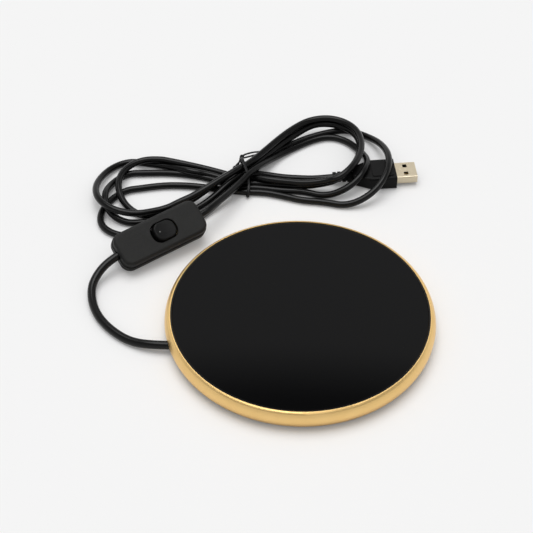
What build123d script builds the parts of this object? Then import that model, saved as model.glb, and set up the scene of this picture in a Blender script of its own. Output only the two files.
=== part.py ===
from build123d import *

import math
import os

# Electric mug warmer: a round glass heating plate, an in-line rocker switch and a USB cord in a tied hank.
# Millimetres. Origin on the floor under the plate's centre, +Z up, the cord leaves towards -X.

# ---- Plate -------------------------------------------------------------------------------------
PLATE_RADIUS = 65.0          # widest point of the ring's bulge
PLATE_TOP = 11.0             # lip of the ring above the floor
RING_BOTTOM = 2.0            # lower edge of the ring above the floor
RING_WALL = 2.8              # wall at the widest point
RING_TUCK = 1.5              # how far the ring's side draws in at its lower edge
BULGE_HEIGHT = 4.2           # widest point above the ring's lower edge
LIP_WIDTH = 0.4              # flat on top of the ring
LIP_CHAMFER = (1.1, 0.8)     # outward width and height of the lip's chamfer
LIP_CROWN = 0.08             # how far the chamfer bulges
LEDGE_WIDTH = 3.7            # inward ledge that carries the glass
LEDGE_THICKNESS = 1.2
GLASS_THICKNESS = 3.0
GLASS_RECESS = 0.2           # glass face below the lip
GLASS_GAP = 0.7              # bead between glass and ring
GLASS_CHAMFER = 0.4
BEAD_RECESS = 0.3            # bead surface below the glass face
BOND_THICKNESS = 0.3         # bond under the glass
SPREADER_INSET = 16.2        # edge of the spreader inside the ring's bore
SPREADER_THICKNESS = 0.8
FILM_INSET = 2.0             # edge of the film inside the spreader's
FILM_THICKNESS = 0.25
PAD_INSET = 1.0              # edge of the pad inside the spreader's
PAD_THICKNESS = 1.5
PAD_WINDOW = (34.0, 18.0)    # opening in the pad for thermostat and fuse
THERMOSTAT_SIZE = (16.0, 6.4, 3.2)
THERMOSTAT_CORNER = 1.6
THERMOSTAT_Y = 3.9
FUSE_RADIUS = 1.2
FUSE_LENGTH = 9.0
FUSE_LEAD_RADIUS = 0.35
FUSE_LEAD_LENGTH = 4.0
FUSE_Y = -4.0
WIRE_RADIUS = 0.6
WIRE_LIFT = 0.2              # wires above the pan's floor
WIRE_RUN = 3.0               # straight run of each wire out of the jacket
LIVE_TURN = (8.0, -14.2)     # corner of the live wire: beyond the jacket's end, and its y
LIVE_PASS = (2.0, -7.6)      # its corner inside the rib: beyond the rib, and its y
LIVE_RISE = (7.5, 4.0)       # start and end of its rise before the thermostat
LIVE_STEP = 2.0              # start of the rise beside the thermostat's axis
RETURN_TURN = (9.0, -16.8)
RETURN_PASS = (3.0, -10.4)
RETURN_RISE = (-15.6, -11.0) # x of the start and the end of the return wire's rise
RETURN_END = -4.0            # x of its end on the film's terminal
RETURN_GAP = 1.8             # between its axis and the fuse
LINK_REACH = 4.0             # bend of the link wire beyond the thermostat
BASE_GAP = 1.0               # underside of the base pan above the floor
BASE_FLOOR = 1.5
BASE_WALL = 1.5
BASE_CLEARANCE = 0.2         # between pan wall and ring bore
PAN_TOP_GAP = 0.3            # between pan wall and ledge
RIB_INSET = 11.0             # round rib that holds the pad up, inside the pad's edge
RIB_THICKNESS = 1.2
RIB_NOTCH = 8.0              # way through the rib for the wires
FOOT_COUNT = 4
FOOT_RADIUS = 6.0
FOOT_INSET = 13.2            # feet's centres inside the ring's bore
FOOT_POCKET = 0.8            # depth of the pockets in the pan
FOOT_ANGLE = 80.0
FOOT_EDGE = 0.4
BASE_SCREW_COUNT = 4
BASE_SCREW_ANGLE = 35.0
BASE_SCREW_INSET = 5.2       # screws' centres inside the ring's bore
BASE_SCREW_RADIUS = 1.3
BASE_SCREW_HEAD = (2.4, 1.3) # radius and height of the head
BASE_SCREW_SINK = 0.2        # head below the pan's underside
BASE_SCREW_SPACE = 0.2       # round the head and the shank in the pan
BASE_SCREW_CROSS = (0.5, 0.5) # width and depth of the cross in the head
BASE_SCREW_TIP_GAP = 0.5     # blind end of the boss hole below the ledge's upper face
BOSS_WALL = 1.4
POST_FLOOR = 1.2             # plastic between screw head and boss

# ---- Cords -------------------------------------------------------------------------------------
FRONT_CORD_RADIUS = 2.1      # plate to switch
USB_CORD_RADIUS = 1.8        # switch to plug
CORD_EXIT_Y = -16.6          # the front cord leaves the plate parallel to X at this Y
CORD_EXIT_Z = 4.2
CORD_END_INSET = 6.2         # end of the jacket inside the ring's bore
CORD_EXIT_RUN = 3.4          # straight run of the cord outside the ring
CORE_SPREAD = 0.9            # wires on each side of a jacket's axis
GROMMET_WALL = 0.7
GROMMET_INSET = 1.0          # outer end of the grommet inside the ring's widest point
GROMMET_FLANGE = (4.3, 1.5)  # radius and thickness of the inner flange
GROMMET_TOP_GAP = 0.1        # between flange and ledge
SLOT_CLEARANCE = 0.1

# ---- In-line switch, in its own frame: X along the cord, Z out of the button -------------------
SWITCH_CENTRE = (-70.3, 52.5, 10.1)
SWITCH_YAW = 33.0
SWITCH_PITCH = 4.0           # hank end up
SWITCH_ROLL = 29.0           # far side up, on the hank
CASE_LENGTH = 47.8           # upper shell
CASE_WIDTH = 18.6
CASE_HEIGHT = 9.2
CASE_CORNER = 5.0            # corner radius seen from above
CASE_EDGE = 1.6              # rounding of the top edge
CASE_FOOT_EDGE = 0.9         # rounding of the bottom edge
CASE_WALL = 1.6
CASE_FLOOR = 1.2
CASE_LIP = 0.4               # lower shell stands out from the upper one
WELL_LENGTH = 13.9
WELL_WIDTH = 10.6
WELL_CORNER = 4.5
WELL_X = 2.0                 # centre of the button well along the case
WELL_COLLAR = 1.0            # wall of the collar round the well
WELL_DEPTH = 4.3             # collar's lower end below the case face
WELL_CHAMFER = 0.25
BUTTON_SIDE_GAP = 0.5
BUTTON_END_GAP = 1.1
BUTTON_RISE = 1.4            # ends of the button above the case face when level
BUTTON_DISH = 0.5            # hollow along the button's top
BUTTON_DEPTH = 3.6           # body of the button below the case face
BUTTON_EDGE = 0.7
BUTTON_DOT = (0.45, 0.15)    # radius and height of the raised dot
BUTTON_DOT_X = -3.2
ROCKER_ANGLE = 8.0           # each side of level
PIVOT_DEPTH = 2.0            # pivot below the case face
PIVOT_RADIUS = 1.0
PIVOT_CLEARANCE = 0.05
STUB_INSET = 0.2             # stub's end inside the collar's outer face
PLUNGER_RADIUS = 0.6
PLUNGER_CLEARANCE = 0.08
PLUNGER_REACH = 3.9          # centre of the round tip below the pivot
PLUNGER_LENGTH = 2.9
HOUSING_RADIUS = 1.5         # housing of the plunger under the button
HOUSING_REACH = 2.2          # housing's end below the pivot
SPRING_WIRE = 0.12           # wire radius
SPRING_LENGTH = 2.4
SPRING_COILS = 5
BLADE_DROP = 4.9             # blade pivot below the rocker pivot
BLADE_LENGTH = 9.0
BLADE_WIDTH = 3.0
BLADE_THICKNESS = 0.4
BLADE_ANGLE = 6.0
BLADE_PIN = 0.4
PIN_OVERHANG = 0.1           # pin's end beyond the ear
EAR_THICKNESS = 0.5
EAR_GAP = 0.25
EAR_LENGTH = 2.0
EAR_HEIGHT = 1.9
TERMINAL_THICKNESS = 0.4
TERMINAL_TAIL = 4.2          # tail of the centre terminal beside the ear
FIXED_THICKNESS = 0.3
FIXED_START = 3.2            # fixed contact's near end from the blade pivot
FIXED_LENGTH = 10.0
CASE_SCREW_PLACES = ((-16.0, -6.0), (17.0, 6.0))
CASE_SCREW_RADIUS = 1.0
CASE_SCREW_HEAD = (1.7, 1.0) # radius and height of the head
CASE_SCREW_SINK = 0.2
CASE_SCREW_SPACE = 0.15      # round the head and the shank in the lower shell
CASE_SCREW_CROSS = (0.4, 0.4) # width and depth of the cross in the head
CASE_SCREW_ENGAGE = 2.6      # thread above the parting plane
CASE_BOSS_WALL = 1.2
CORD_GRIP = 4.5              # jacket inside each end of the case
CLAMP_RIB = (1.2, 9.0)       # thickness and width of the ribs that hold the jackets
CLAMP_INSET = 3.0            # rib centre from the end of the case
SWITCH_WIRE_RADIUS = 0.5
SWITCH_WIRE_RUN = 2.5        # straight run of each wire out of its jacket
SWITCH_WIRE_LIFT = 0.1       # passing wire above the case floor
TAIL_OVERLAP = 1.0           # live wire's axis from the tail's end
FIXED_OVERLAP = 3.0          # live wire on the fixed contact
LIVE_CORNER = (-13.0, -2.2, -1.4)
LIVE_LANDING = -6.5          # x where the live wire comes down to the terminal
THROUGH_FALL = ((-13.0, 4.2, -2.0), (-6.0, 5.3))  # passing wire's corners on its way down to the floor
THROUGH_CLIMB = ((9.0, 5.1), (14.6, 2.2, -1.6))   # and on its way up again

# ---- Plug, in its own frame: X out of the shell, origin where the shell leaves the grip --------
PLUG_BASE = (51.4, 107.9)
PLUG_YAW = 6.0
GRIP_WIDTH = 16.2
GRIP_HEIGHT = 7.8
GRIP_LENGTH = 13.2           # full-width part
GRIP_TAPER = 9.6
GRIP_NECK = (8.4, 6.6)       # width and height where the grip meets the strain relief
GRIP_CORNER = 1.3
PANEL_SIZE = (11.4, 11.6)    # raised plain panel on the grip
PANEL_HEIGHT = 0.35
PANEL_CORNER = 1.0
PANEL_BACK = 7.0             # panel centre behind the shell
RELIEF_LENGTH = 10.4
RELIEF_RADIUS = 3.1
RELIEF_END_RADIUS = 2.7
RELIEF_RIBS = 4
RIB_SHARE = 0.62             # share of each rib's pitch that is rib
RIB_GROOVE = 0.55            # depth of the grooves between the ribs
CORD_IN_GRIP = 2.5           # jacket inside the grip
SHELL_WIDTH = 12.0
SHELL_HEIGHT = 4.5
SHELL_LENGTH = 11.2          # outside the grip
SHELL_IN_GRIP = 6.0
SHELL_WALL = 0.3
SHELL_CORNER = 0.6
SHELL_HOLE = 2.3
SHELL_HOLE_BACK = 5.7        # hole centres behind the shell's mouth
SHELL_HOLE_SPREAD = 5.8      # between the two holes of a face
SHELL_DIMPLE = (1.5, 0.12)   # radius of the ball that presses the dimple, and the dimple's depth
SHELL_DIMPLE_BACK = 8.9      # dimple behind the shell's mouth
TONGUE_THICKNESS = 1.9
TONGUE_RECESS = 0.9          # tongue's end behind the shell's mouth
TONGUE_ROOT = 5.0            # full-height root of the tongue in the grip
CONTACT_SPREADS = (-3.5, -1.0, 1.0, 3.5)
CONTACT_SIZE = (8.0, 1.0, 0.25)
CONTACT_RECESS = 0.6         # contact's end behind the tongue's end

# ---- Hank: outer shape of the tied turns -------------------------------------------------------
LOBE_HEIGHT = 7.2            # turns two cords high
BUNDLE_HEIGHT = 11.0         # turns three cords high
GRIP_BRIDGE_HEIGHT = 12.0    # turns that pass over the plug's grip
RELIEF_BRIDGE_HEIGHT = 14.6  # turns that cross over its strain relief
HANK_CLEARANCE = 0.4         # to switch and plug
TIE_X = -29.0
TIE_WIDTH = 2.2
TIE_THICKNESS = 0.8
TIE_SPAN = (91.4, 112.2)     # inside of the tie in Y
TIE_GAP = 0.1                # between tie and hank
TIE_CORNER = 3.0
KNOT_RADIUS = 1.7
KNOT_SINK = 0.3              # knot's edge in the loop
KNOT_Z = 6.6
TIE_END_RADIUS = 0.8
TIE_END_CORNERS = ((-25.5, 117.6, 7.6), (-20.0, 119.4, 8.4))

HANK_OUTLINE = [
    (-34, 112.2), (-47, 113), (-60, 116.6), (-76, 118.9), (-91, 117), (-102.6, 109.8), (-108, 99),
    (-107.6, 89), (-104.8, 79), (-103.8, 70.6), (-100.2, 63.2), (-92, 58.4), (-80, 56.6), (-68, 59.4),
    (-58, 65.6), (-50, 72.4), (-42, 78.4), (-34, 88), (-26, 92.2), (-14, 91.6), (-2, 86.8), (8, 82.6),
    (21, 80.8), (33, 85.2), (43.4, 94.6), (50, 106.4), (52, 119), (49, 131), (42.6, 138.8), (34, 144),
    (24, 150), (12, 152), (2, 146), (-8, 134), (-16, 122), (-23, 113.6),
]
BUNDLE_OUTLINE = [
    (-52, 92), (-44, 82), (-35, 92.4), (-25, 94), (-12, 94), (2, 92), (16, 88), (28, 94), (36, 108),
    (38, 122), (34, 134), (26, 145), (14, 148), (2, 142), (-10, 127.6), (-18, 116), (-26, 110.6),
    (-42, 109.6),
]
GRIP_BRIDGE_OUTLINE = [(34, 94), (43, 97.6), (49, 108), (50, 119), (45, 124), (37, 121), (32, 108)]
RELIEF_BRIDGE_OUTLINE = [(20, 96), (29, 95), (34, 104), (35, 114), (29, 117), (23, 112)]
LEFT_OPENING = [
    (-52, 96.4), (-62, 98), (-72, 97), (-86, 93), (-91.5, 88), (-89.5, 82), (-82, 78.4), (-74, 79),
    (-62, 86.8),
]
RIGHT_OPENING = [
    (-12, 109.8), (-4, 119.5), (8, 128.6), (19, 130), (27, 124.6), (27, 118.6), (20, 112), (4, 108.8),
]

# ---- Cord routes: corner points of the runs, by hand -------------------------------------------
ARC_SHARE = 0.45             # share of the shorter run that an arc between two runs takes
FRONT_ROUTE = [
    (-80.5, -12.9, 2.15), (-90, -5.9, 2.15), (-97.4, 3.2, 2.15), (-101.6, 13.8, 2.2), (-102.4, 25.6, 3.6),
]
FRONT_CORD_LAST_RUN = 9.7
LEAD_FIRST_RUN = 9.5
LEAD_ROUTE = [(-41.6, 75.6, 12.6), (-38.2, 83.6, 9.6)]
TAIL_START = (-15.4, 105.6, 2.6)
TAIL_LAST_RUN = 23.6


# ---- Shared shapes -----------------------------------------------------------------------------
def disc(radius, low, high):
    """A plain round disc between two heights."""
    return Pos(0, 0, low) * extrude(Circle(radius), high - low)


def ring(outer, inner, low, high):
    """A flat ring between two heights."""
    return Pos(0, 0, low) * extrude(Circle(outer) - Circle(inner), high - low)


def around(count, radius, first_angle):
    """Places spread evenly on a circle about Z."""
    for index in range(count):
        angle = math.radians(first_angle + 360.0 * index / count)
        yield Pos(radius * math.cos(angle), radius * math.sin(angle), 0)


def rounded_plate(length, width, corner, low, high):
    """A plate with round corners between two heights."""
    return Pos(0, 0, low) * extrude(RectangleRounded(length, width, corner), high - low)


def along_x(radius, start, end):
    """A cylinder on the X axis from one x to another."""
    return Pos((start + end) / 2, 0, 0) * Rot(0, 90, 0) * Cylinder(radius, end - start)


def across_y(radius, reach):
    """A cylinder on the Y axis, the same length on both sides."""
    return Rot(90, 0, 0) * Cylinder(radius, 2 * reach)


def tube(points, radius, name=""):
    """A round tube along straight runs joined by tangent arcs, each as large as its two runs allow."""
    radii = []
    for before, corner, after in zip(points, points[1:], points[2:]):
        run_in = Vector(corner) - Vector(before)
        run_out = Vector(after) - Vector(corner)
        half_turn = math.radians(run_in.get_angle(run_out)) / 2
        radii.append(ARC_SHARE * min(run_in.length, run_out.length) / math.tan(half_turn))
    path = FilletPolyline(*points, radius=radii)
    body = sweep(Plane(path @ 0, z_dir=path % 0) * Circle(radius), path=path)
    if name:
        share = body.volume / (math.pi * radius ** 2 * path.length)
        print(f"{name}: {path.length:.1f} mm long, volume {share:.4f} of section x length")
        print(f"{name}: arcs", [round(value, 1) for value in radii])
    return body


def block_on(outline, low, high):
    """A block whose plan is a smooth closed curve through the points."""
    return Pos(0, 0, low) * extrude(make_face(Spline(*outline, periodic=True)), high - low)


# ---- Plate -------------------------------------------------------------------------------------
RING_BORE = PLATE_RADIUS - RING_WALL
CORD_END_INSIDE = CORD_END_INSET - RING_BORE
SPREADER_RADIUS = RING_BORE - SPREADER_INSET
FILM_RADIUS = SPREADER_RADIUS - FILM_INSET
PAD_RADIUS = SPREADER_RADIUS - PAD_INSET
RIB_RADIUS = PAD_RADIUS - RIB_INSET
FOOT_CIRCLE = RING_BORE - FOOT_INSET
BASE_SCREW_CIRCLE = RING_BORE - BASE_SCREW_INSET
GLASS_TOP = PLATE_TOP - GLASS_RECESS
GLASS_BOTTOM = GLASS_TOP - GLASS_THICKNESS
GLASS_RADIUS = RING_BORE - GLASS_GAP
LEDGE_TOP = GLASS_BOTTOM - BOND_THICKNESS
LEDGE_BOTTOM = LEDGE_TOP - LEDGE_THICKNESS
LEDGE_BORE = RING_BORE - LEDGE_WIDTH
SPREADER_BOTTOM = GLASS_BOTTOM - SPREADER_THICKNESS
FILM_BOTTOM = SPREADER_BOTTOM - FILM_THICKNESS
PAD_BOTTOM = FILM_BOTTOM - PAD_THICKNESS
PAN_FLOOR_TOP = BASE_GAP + BASE_FLOOR
PAN_RADIUS = RING_BORE - BASE_CLEARANCE
PAN_BORE = PAN_RADIUS - BASE_WALL
GROMMET_RADIUS = FRONT_CORD_RADIUS + GROMMET_WALL
WIRE_Z = PAN_FLOOR_TOP + WIRE_RADIUS + WIRE_LIFT
SCREW_SEAT = BASE_GAP + BASE_SCREW_SINK + BASE_SCREW_HEAD[1]
BOSS_BOTTOM = SCREW_SEAT + POST_FLOOR
EXIT = Pos(0, CORD_EXIT_Y, CORD_EXIT_Z)


def cord_slot():
    """Slot for the grommet through the side, open downwards and round at its top."""
    radius = GROMMET_RADIUS + SLOT_CLEARANCE
    hole = along_x(radius, -PLATE_RADIUS, CORD_END_INSIDE)
    mouth = Pos((CORD_END_INSIDE - PLATE_RADIUS) / 2, 0, -PLATE_TOP / 2)
    return EXIT * (hole + mouth * Box(PLATE_RADIUS + CORD_END_INSIDE, 2 * radius, PLATE_TOP))


def glass_top():
    """Glass disc with a ground upper edge."""
    glass = disc(GLASS_RADIUS, GLASS_BOTTOM, GLASS_TOP)
    return chamfer(glass.edges().sort_by(Axis.Z)[-1], GLASS_CHAMFER)


def glass_bond():
    """Silicone between glass and ring, and between glass and ledge."""
    beside = ring(RING_BORE, GLASS_RADIUS, LEDGE_TOP, GLASS_TOP - BEAD_RECESS)
    under = ring(RING_BORE, LEDGE_BORE, LEDGE_TOP, GLASS_BOTTOM)
    return beside + under


def rim_ring():
    """Turned ring: a bulging side, a crowned lip, a ledge for the glass and bosses for the screws."""
    lip_edge = RING_BORE + LIP_WIDTH
    lip_width, lip_fall = LIP_CHAMFER
    bulge = ThreePointArc(
        (PLATE_RADIUS - RING_TUCK, 0, RING_BOTTOM), (PLATE_RADIUS, 0, RING_BOTTOM + BULGE_HEIGHT),
        (lip_edge + lip_width, 0, PLATE_TOP - lip_fall),
    )
    crown_x = lip_edge + lip_width / 2 + LIP_CROWN * lip_fall / math.hypot(lip_width, lip_fall)
    crown_z = PLATE_TOP - lip_fall / 2 + LIP_CROWN * lip_width / math.hypot(lip_width, lip_fall)
    lip = ThreePointArc(bulge @ 1, (crown_x, 0, crown_z), (lip_edge, 0, PLATE_TOP))
    rest = Polyline(
        lip @ 1, (RING_BORE, 0, PLATE_TOP), (RING_BORE, 0, LEDGE_TOP),
        (LEDGE_BORE, 0, LEDGE_TOP), (LEDGE_BORE, 0, LEDGE_BOTTOM), (RING_BORE, 0, LEDGE_BOTTOM),
        (RING_BORE, 0, RING_BOTTOM), bulge @ 0,
    )
    body = revolve(make_face([bulge, lip, *rest.edges()]), Axis.Z)
    for place in around(BASE_SCREW_COUNT, BASE_SCREW_CIRCLE, BASE_SCREW_ANGLE):
        body += place * disc(BASE_SCREW_RADIUS + BOSS_WALL, BOSS_BOTTOM, LEDGE_TOP)
        body -= place * disc(BASE_SCREW_RADIUS, BOSS_BOTTOM, LEDGE_TOP - BASE_SCREW_TIP_GAP)
    return body - cord_slot()


def insulation_pad():
    """Fibre pad with a window for the thermostat and the fuse."""
    window = Pos(0, 0, PAD_BOTTOM + PAD_THICKNESS / 2) * Box(*PAD_WINDOW, 2 * PAD_THICKNESS)
    return disc(PAD_RADIUS, PAD_BOTTOM, FILM_BOTTOM) - window


def thermostat():
    """Flat bimetal cut-out glued to the film."""
    length, width, height = THERMOSTAT_SIZE
    body = rounded_plate(length, width, THERMOSTAT_CORNER, FILM_BOTTOM - height, FILM_BOTTOM)
    return Pos(0, THERMOSTAT_Y, 0) * body


def thermal_fuse():
    """Fuse with a lead at each end, against the film."""
    barrel = along_x(FUSE_RADIUS, -FUSE_LENGTH / 2, FUSE_LENGTH / 2)
    lead_end = FUSE_LENGTH / 2 + FUSE_LEAD_LENGTH
    leads = along_x(FUSE_LEAD_RADIUS, -lead_end, lead_end)
    return Pos(0, FUSE_Y, FILM_BOTTOM - FUSE_RADIUS) * (barrel + leads)


def wire_start(core_y):
    """Straight run of a wire out of the jacket's end."""
    return [(CORD_END_INSIDE, core_y, CORD_EXIT_Z), (CORD_END_INSIDE + WIRE_RUN, core_y, CORD_EXIT_Z)]


def wire_pass(turn, through):
    """Corners of a wire on the pan's floor: behind the jacket's end, and inside the notch of the rib."""
    return [(CORD_END_INSIDE + turn[0], turn[1], WIRE_Z), (through[0] - RIB_RADIUS, through[1], WIRE_Z)]


def lead_live():
    """Wire from the cord to the thermostat's near end."""
    core_y = CORD_EXIT_Y + CORE_SPREAD
    end_x = -THERMOSTAT_SIZE[0] / 2
    end_z = FILM_BOTTOM - THERMOSTAT_SIZE[2] / 2
    rise_start, rise_end = LIVE_RISE
    return tube([
        *wire_start(core_y), *wire_pass(LIVE_TURN, LIVE_PASS),
        (end_x - rise_start, THERMOSTAT_Y - LIVE_STEP, WIRE_Z),
        (end_x - rise_end, THERMOSTAT_Y, end_z), (end_x, THERMOSTAT_Y, end_z),
    ], WIRE_RADIUS)


def lead_return():
    """Wire from the cord to the film's terminal beside the fuse."""
    core_y = CORD_EXIT_Y - CORE_SPREAD
    end_y = FUSE_Y - FUSE_RADIUS - RETURN_GAP
    end_z = FILM_BOTTOM - WIRE_RADIUS
    rise_start, rise_end = RETURN_RISE
    return tube([
        *wire_start(core_y), *wire_pass(RETURN_TURN, RETURN_PASS), (rise_start, end_y, WIRE_Z),
        (rise_end, end_y, end_z), (RETURN_END, end_y, end_z),
    ], WIRE_RADIUS)


def fuse_link():
    """Wire from the thermostat's far end back to the fuse."""
    start_x = THERMOSTAT_SIZE[0] / 2
    start_z = FILM_BOTTOM - THERMOSTAT_SIZE[2] / 2
    fuse_end = FUSE_LENGTH / 2 + FUSE_LEAD_LENGTH
    fuse_z = FILM_BOTTOM - FUSE_RADIUS
    return tube([
        (start_x, THERMOSTAT_Y, start_z), (start_x + LINK_REACH, THERMOSTAT_Y, start_z),
        (start_x + LINK_REACH, FUSE_Y, fuse_z), (fuse_end, FUSE_Y, fuse_z),
    ], WIRE_RADIUS)


def screw_way(place):
    """Head recess and shank hole of a base screw through the pan."""
    head_way = disc(BASE_SCREW_HEAD[0] + BASE_SCREW_SPACE, 0, SCREW_SEAT)
    return place * (head_way + disc(BASE_SCREW_RADIUS + BASE_SCREW_SPACE, 0, BOSS_BOTTOM))


def base_pan():
    """Tray with a wall inside the ring, a rib under the pad, screw posts and pockets for the feet."""
    pan = disc(PAN_RADIUS, BASE_GAP, PAN_FLOOR_TOP)
    pan += ring(PAN_RADIUS, PAN_BORE, PAN_FLOOR_TOP, LEDGE_BOTTOM - PAN_TOP_GAP)
    pan += ring(RIB_RADIUS + RIB_THICKNESS, RIB_RADIUS, PAN_FLOOR_TOP, PAD_BOTTOM)
    notch_height = PAD_BOTTOM - PAN_FLOOR_TOP
    notch_place = Pos(-RIB_RADIUS, CORD_EXIT_Y / 2, PAN_FLOOR_TOP + notch_height / 2)
    pan -= notch_place * Box(RIB_NOTCH, RIB_NOTCH, notch_height)
    for place in around(BASE_SCREW_COUNT, BASE_SCREW_CIRCLE, BASE_SCREW_ANGLE):
        post = place * disc(BASE_SCREW_HEAD[0] + BOSS_WALL, BASE_GAP, BOSS_BOTTOM)
        pan += post & disc(PAN_RADIUS, 0, PLATE_TOP)
        pan -= screw_way(place)
    for place in around(FOOT_COUNT, FOOT_CIRCLE, FOOT_ANGLE):
        pan -= place * disc(FOOT_RADIUS, 0, BASE_GAP + FOOT_POCKET)
    groove = EXIT * along_x(GROMMET_RADIUS + SLOT_CLEARANCE, -PLATE_RADIUS, CORD_END_INSIDE)
    return pan - groove - (cord_slot() & disc(PLATE_RADIUS, PAN_FLOOR_TOP, PLATE_TOP))


def base_screws():
    """Self-tapping screws from below, through the pan into the ring's bosses."""
    head_radius, head_height = BASE_SCREW_HEAD
    head = disc(head_radius, SCREW_SEAT - head_height, SCREW_SEAT)
    slot_width, slot_depth = BASE_SCREW_CROSS
    slot = Pos(0, 0, SCREW_SEAT - head_height) * Box(head_radius, slot_width, 2 * slot_depth)
    cross = slot + Rot(0, 0, 90) * slot
    shank = disc(BASE_SCREW_RADIUS, SCREW_SEAT, LEDGE_TOP - BASE_SCREW_TIP_GAP)
    screw = head + shank - cross
    return [place * screw for place in around(BASE_SCREW_COUNT, BASE_SCREW_CIRCLE, BASE_SCREW_ANGLE)]


def rubber_feet():
    """Round feet in their pockets."""
    foot = disc(FOOT_RADIUS, 0, BASE_GAP + FOOT_POCKET)
    foot = fillet(foot.edges().sort_by(Axis.Z)[0], FOOT_EDGE)
    return [place * foot for place in around(FOOT_COUNT, FOOT_CIRCLE, FOOT_ANGLE)]


def cord_grommet():
    """Bushing on the cord: a neck through the wall and a flange behind it."""
    flange_radius, flange_thickness = GROMMET_FLANGE
    neck = along_x(GROMMET_RADIUS, -PLATE_RADIUS, CORD_END_INSIDE)
    neck &= EXIT.inverse() * ring(PLATE_RADIUS - GROMMET_INSET, PAN_BORE - flange_thickness, 0, PLATE_TOP)
    flange = along_x(flange_radius, -PLATE_RADIUS, CORD_END_INSIDE)
    flange_top = LEDGE_BOTTOM - GROMMET_TOP_GAP
    flange &= EXIT.inverse() * ring(PAN_BORE, PAN_BORE - flange_thickness, PAN_FLOOR_TOP, flange_top)
    bore = along_x(FRONT_CORD_RADIUS, -PLATE_RADIUS, CORD_END_INSIDE)
    return EXIT * (neck + flange - bore)


# ---- In-line switch ----------------------------------------------------------------------------
SWITCH = Pos(*SWITCH_CENTRE) * Rot(0, 0, SWITCH_YAW) * Rot(0, -SWITCH_PITCH, 0) * Rot(SWITCH_ROLL, 0, 0)
CASE_TOP = CASE_HEIGHT / 2
CASE_BOTTOM = -CASE_HEIGHT / 2
CASE_FLOOR_TOP = CASE_BOTTOM + CASE_FLOOR
JACKET_END = CASE_LENGTH / 2 - CORD_GRIP
CASE_SCREW_SEAT = CASE_BOTTOM + CASE_SCREW_SINK + CASE_SCREW_HEAD[1]
CASE_BOSS_RADIUS = CASE_SCREW_RADIUS + CASE_BOSS_WALL
ROCKER_PIVOT = Pos(WELL_X, 0, CASE_TOP - PIVOT_DEPTH)
BLADE_PIVOT = ROCKER_PIVOT * Pos(0, 0, -BLADE_DROP)
ROCKER_AT_REST = ROCKER_PIVOT * Rot(0, ROCKER_ANGLE, 0)
BLADE_AT_REST = BLADE_PIVOT * Rot(0, -BLADE_ANGLE, 0)


def switch_axis(x):
    """A point on the axis of the switch, in the model's frame."""
    return tuple((SWITCH * Pos(x, 0, 0)).position)


def cord_bores():
    """The two cord ways through the ends of the case."""
    half = CASE_LENGTH / 2 + CASE_LIP
    return along_x(FRONT_CORD_RADIUS, -half, -JACKET_END) + along_x(USB_CORD_RADIUS, JACKET_END, half)


def clamp_ribs(low, high):
    """Cross ribs that hold the jackets at both ends."""
    thickness, width = CLAMP_RIB
    place = CASE_LENGTH / 2 - CLAMP_INSET
    rib = Pos(0, 0, (low + high) / 2) * Box(thickness, width, high - low)
    return Pos(-place, 0, 0) * rib + Pos(place, 0, 0) * rib


def well_block(margin, top):
    """A block on the well's outline grown by a margin, from the collar's lower end to a height."""
    length = WELL_LENGTH + 2 * margin
    width = WELL_WIDTH + 2 * margin
    return rounded_plate(length, width, WELL_CORNER + margin, CASE_TOP - WELL_DEPTH, top)


def in_well(edge):
    """Whether an edge of the case face belongs to the button well."""
    reach_x = WELL_LENGTH / 2 + WELL_COLLAR
    reach_y = WELL_WIDTH / 2 + WELL_COLLAR
    return abs(edge.center().X - WELL_X) < reach_x and abs(edge.center().Y) < reach_y


def switch_upper_case():
    """Upper shell: round edges, the button well with its collar and pivot holes, and two screw bosses."""
    roof = CASE_TOP - CASE_WALL
    shell = rounded_plate(CASE_LENGTH, CASE_WIDTH, CASE_CORNER, 0, CASE_TOP)
    shell = fillet(shell.faces().sort_by(Axis.Z)[-1].edges(), CASE_EDGE)
    inner_length = CASE_LENGTH - 2 * CASE_WALL
    inner_width = CASE_WIDTH - 2 * CASE_WALL
    shell -= rounded_plate(inner_length, inner_width, CASE_CORNER - CASE_WALL, 0, roof)
    shell += Pos(WELL_X, 0, 0) * well_block(WELL_COLLAR, roof)
    shell -= Pos(WELL_X, 0, 0) * well_block(0, CASE_TOP)
    well_edges = shell.edges().group_by(Axis.Z)[-1].filter_by(in_well)
    shell = chamfer(well_edges, WELL_CHAMFER)
    for x, y in CASE_SCREW_PLACES:
        shell += Pos(x, y, 0) * disc(CASE_BOSS_RADIUS, 0, roof)
        shell -= Pos(x, y, 0) * disc(CASE_SCREW_RADIUS, 0, CASE_SCREW_ENGAGE)
    shell += clamp_ribs(0, roof)
    shell -= ROCKER_PIVOT * across_y(PIVOT_RADIUS + PIVOT_CLEARANCE, WELL_WIDTH / 2 + WELL_COLLAR)
    return SWITCH * (shell - cord_bores())


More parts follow.
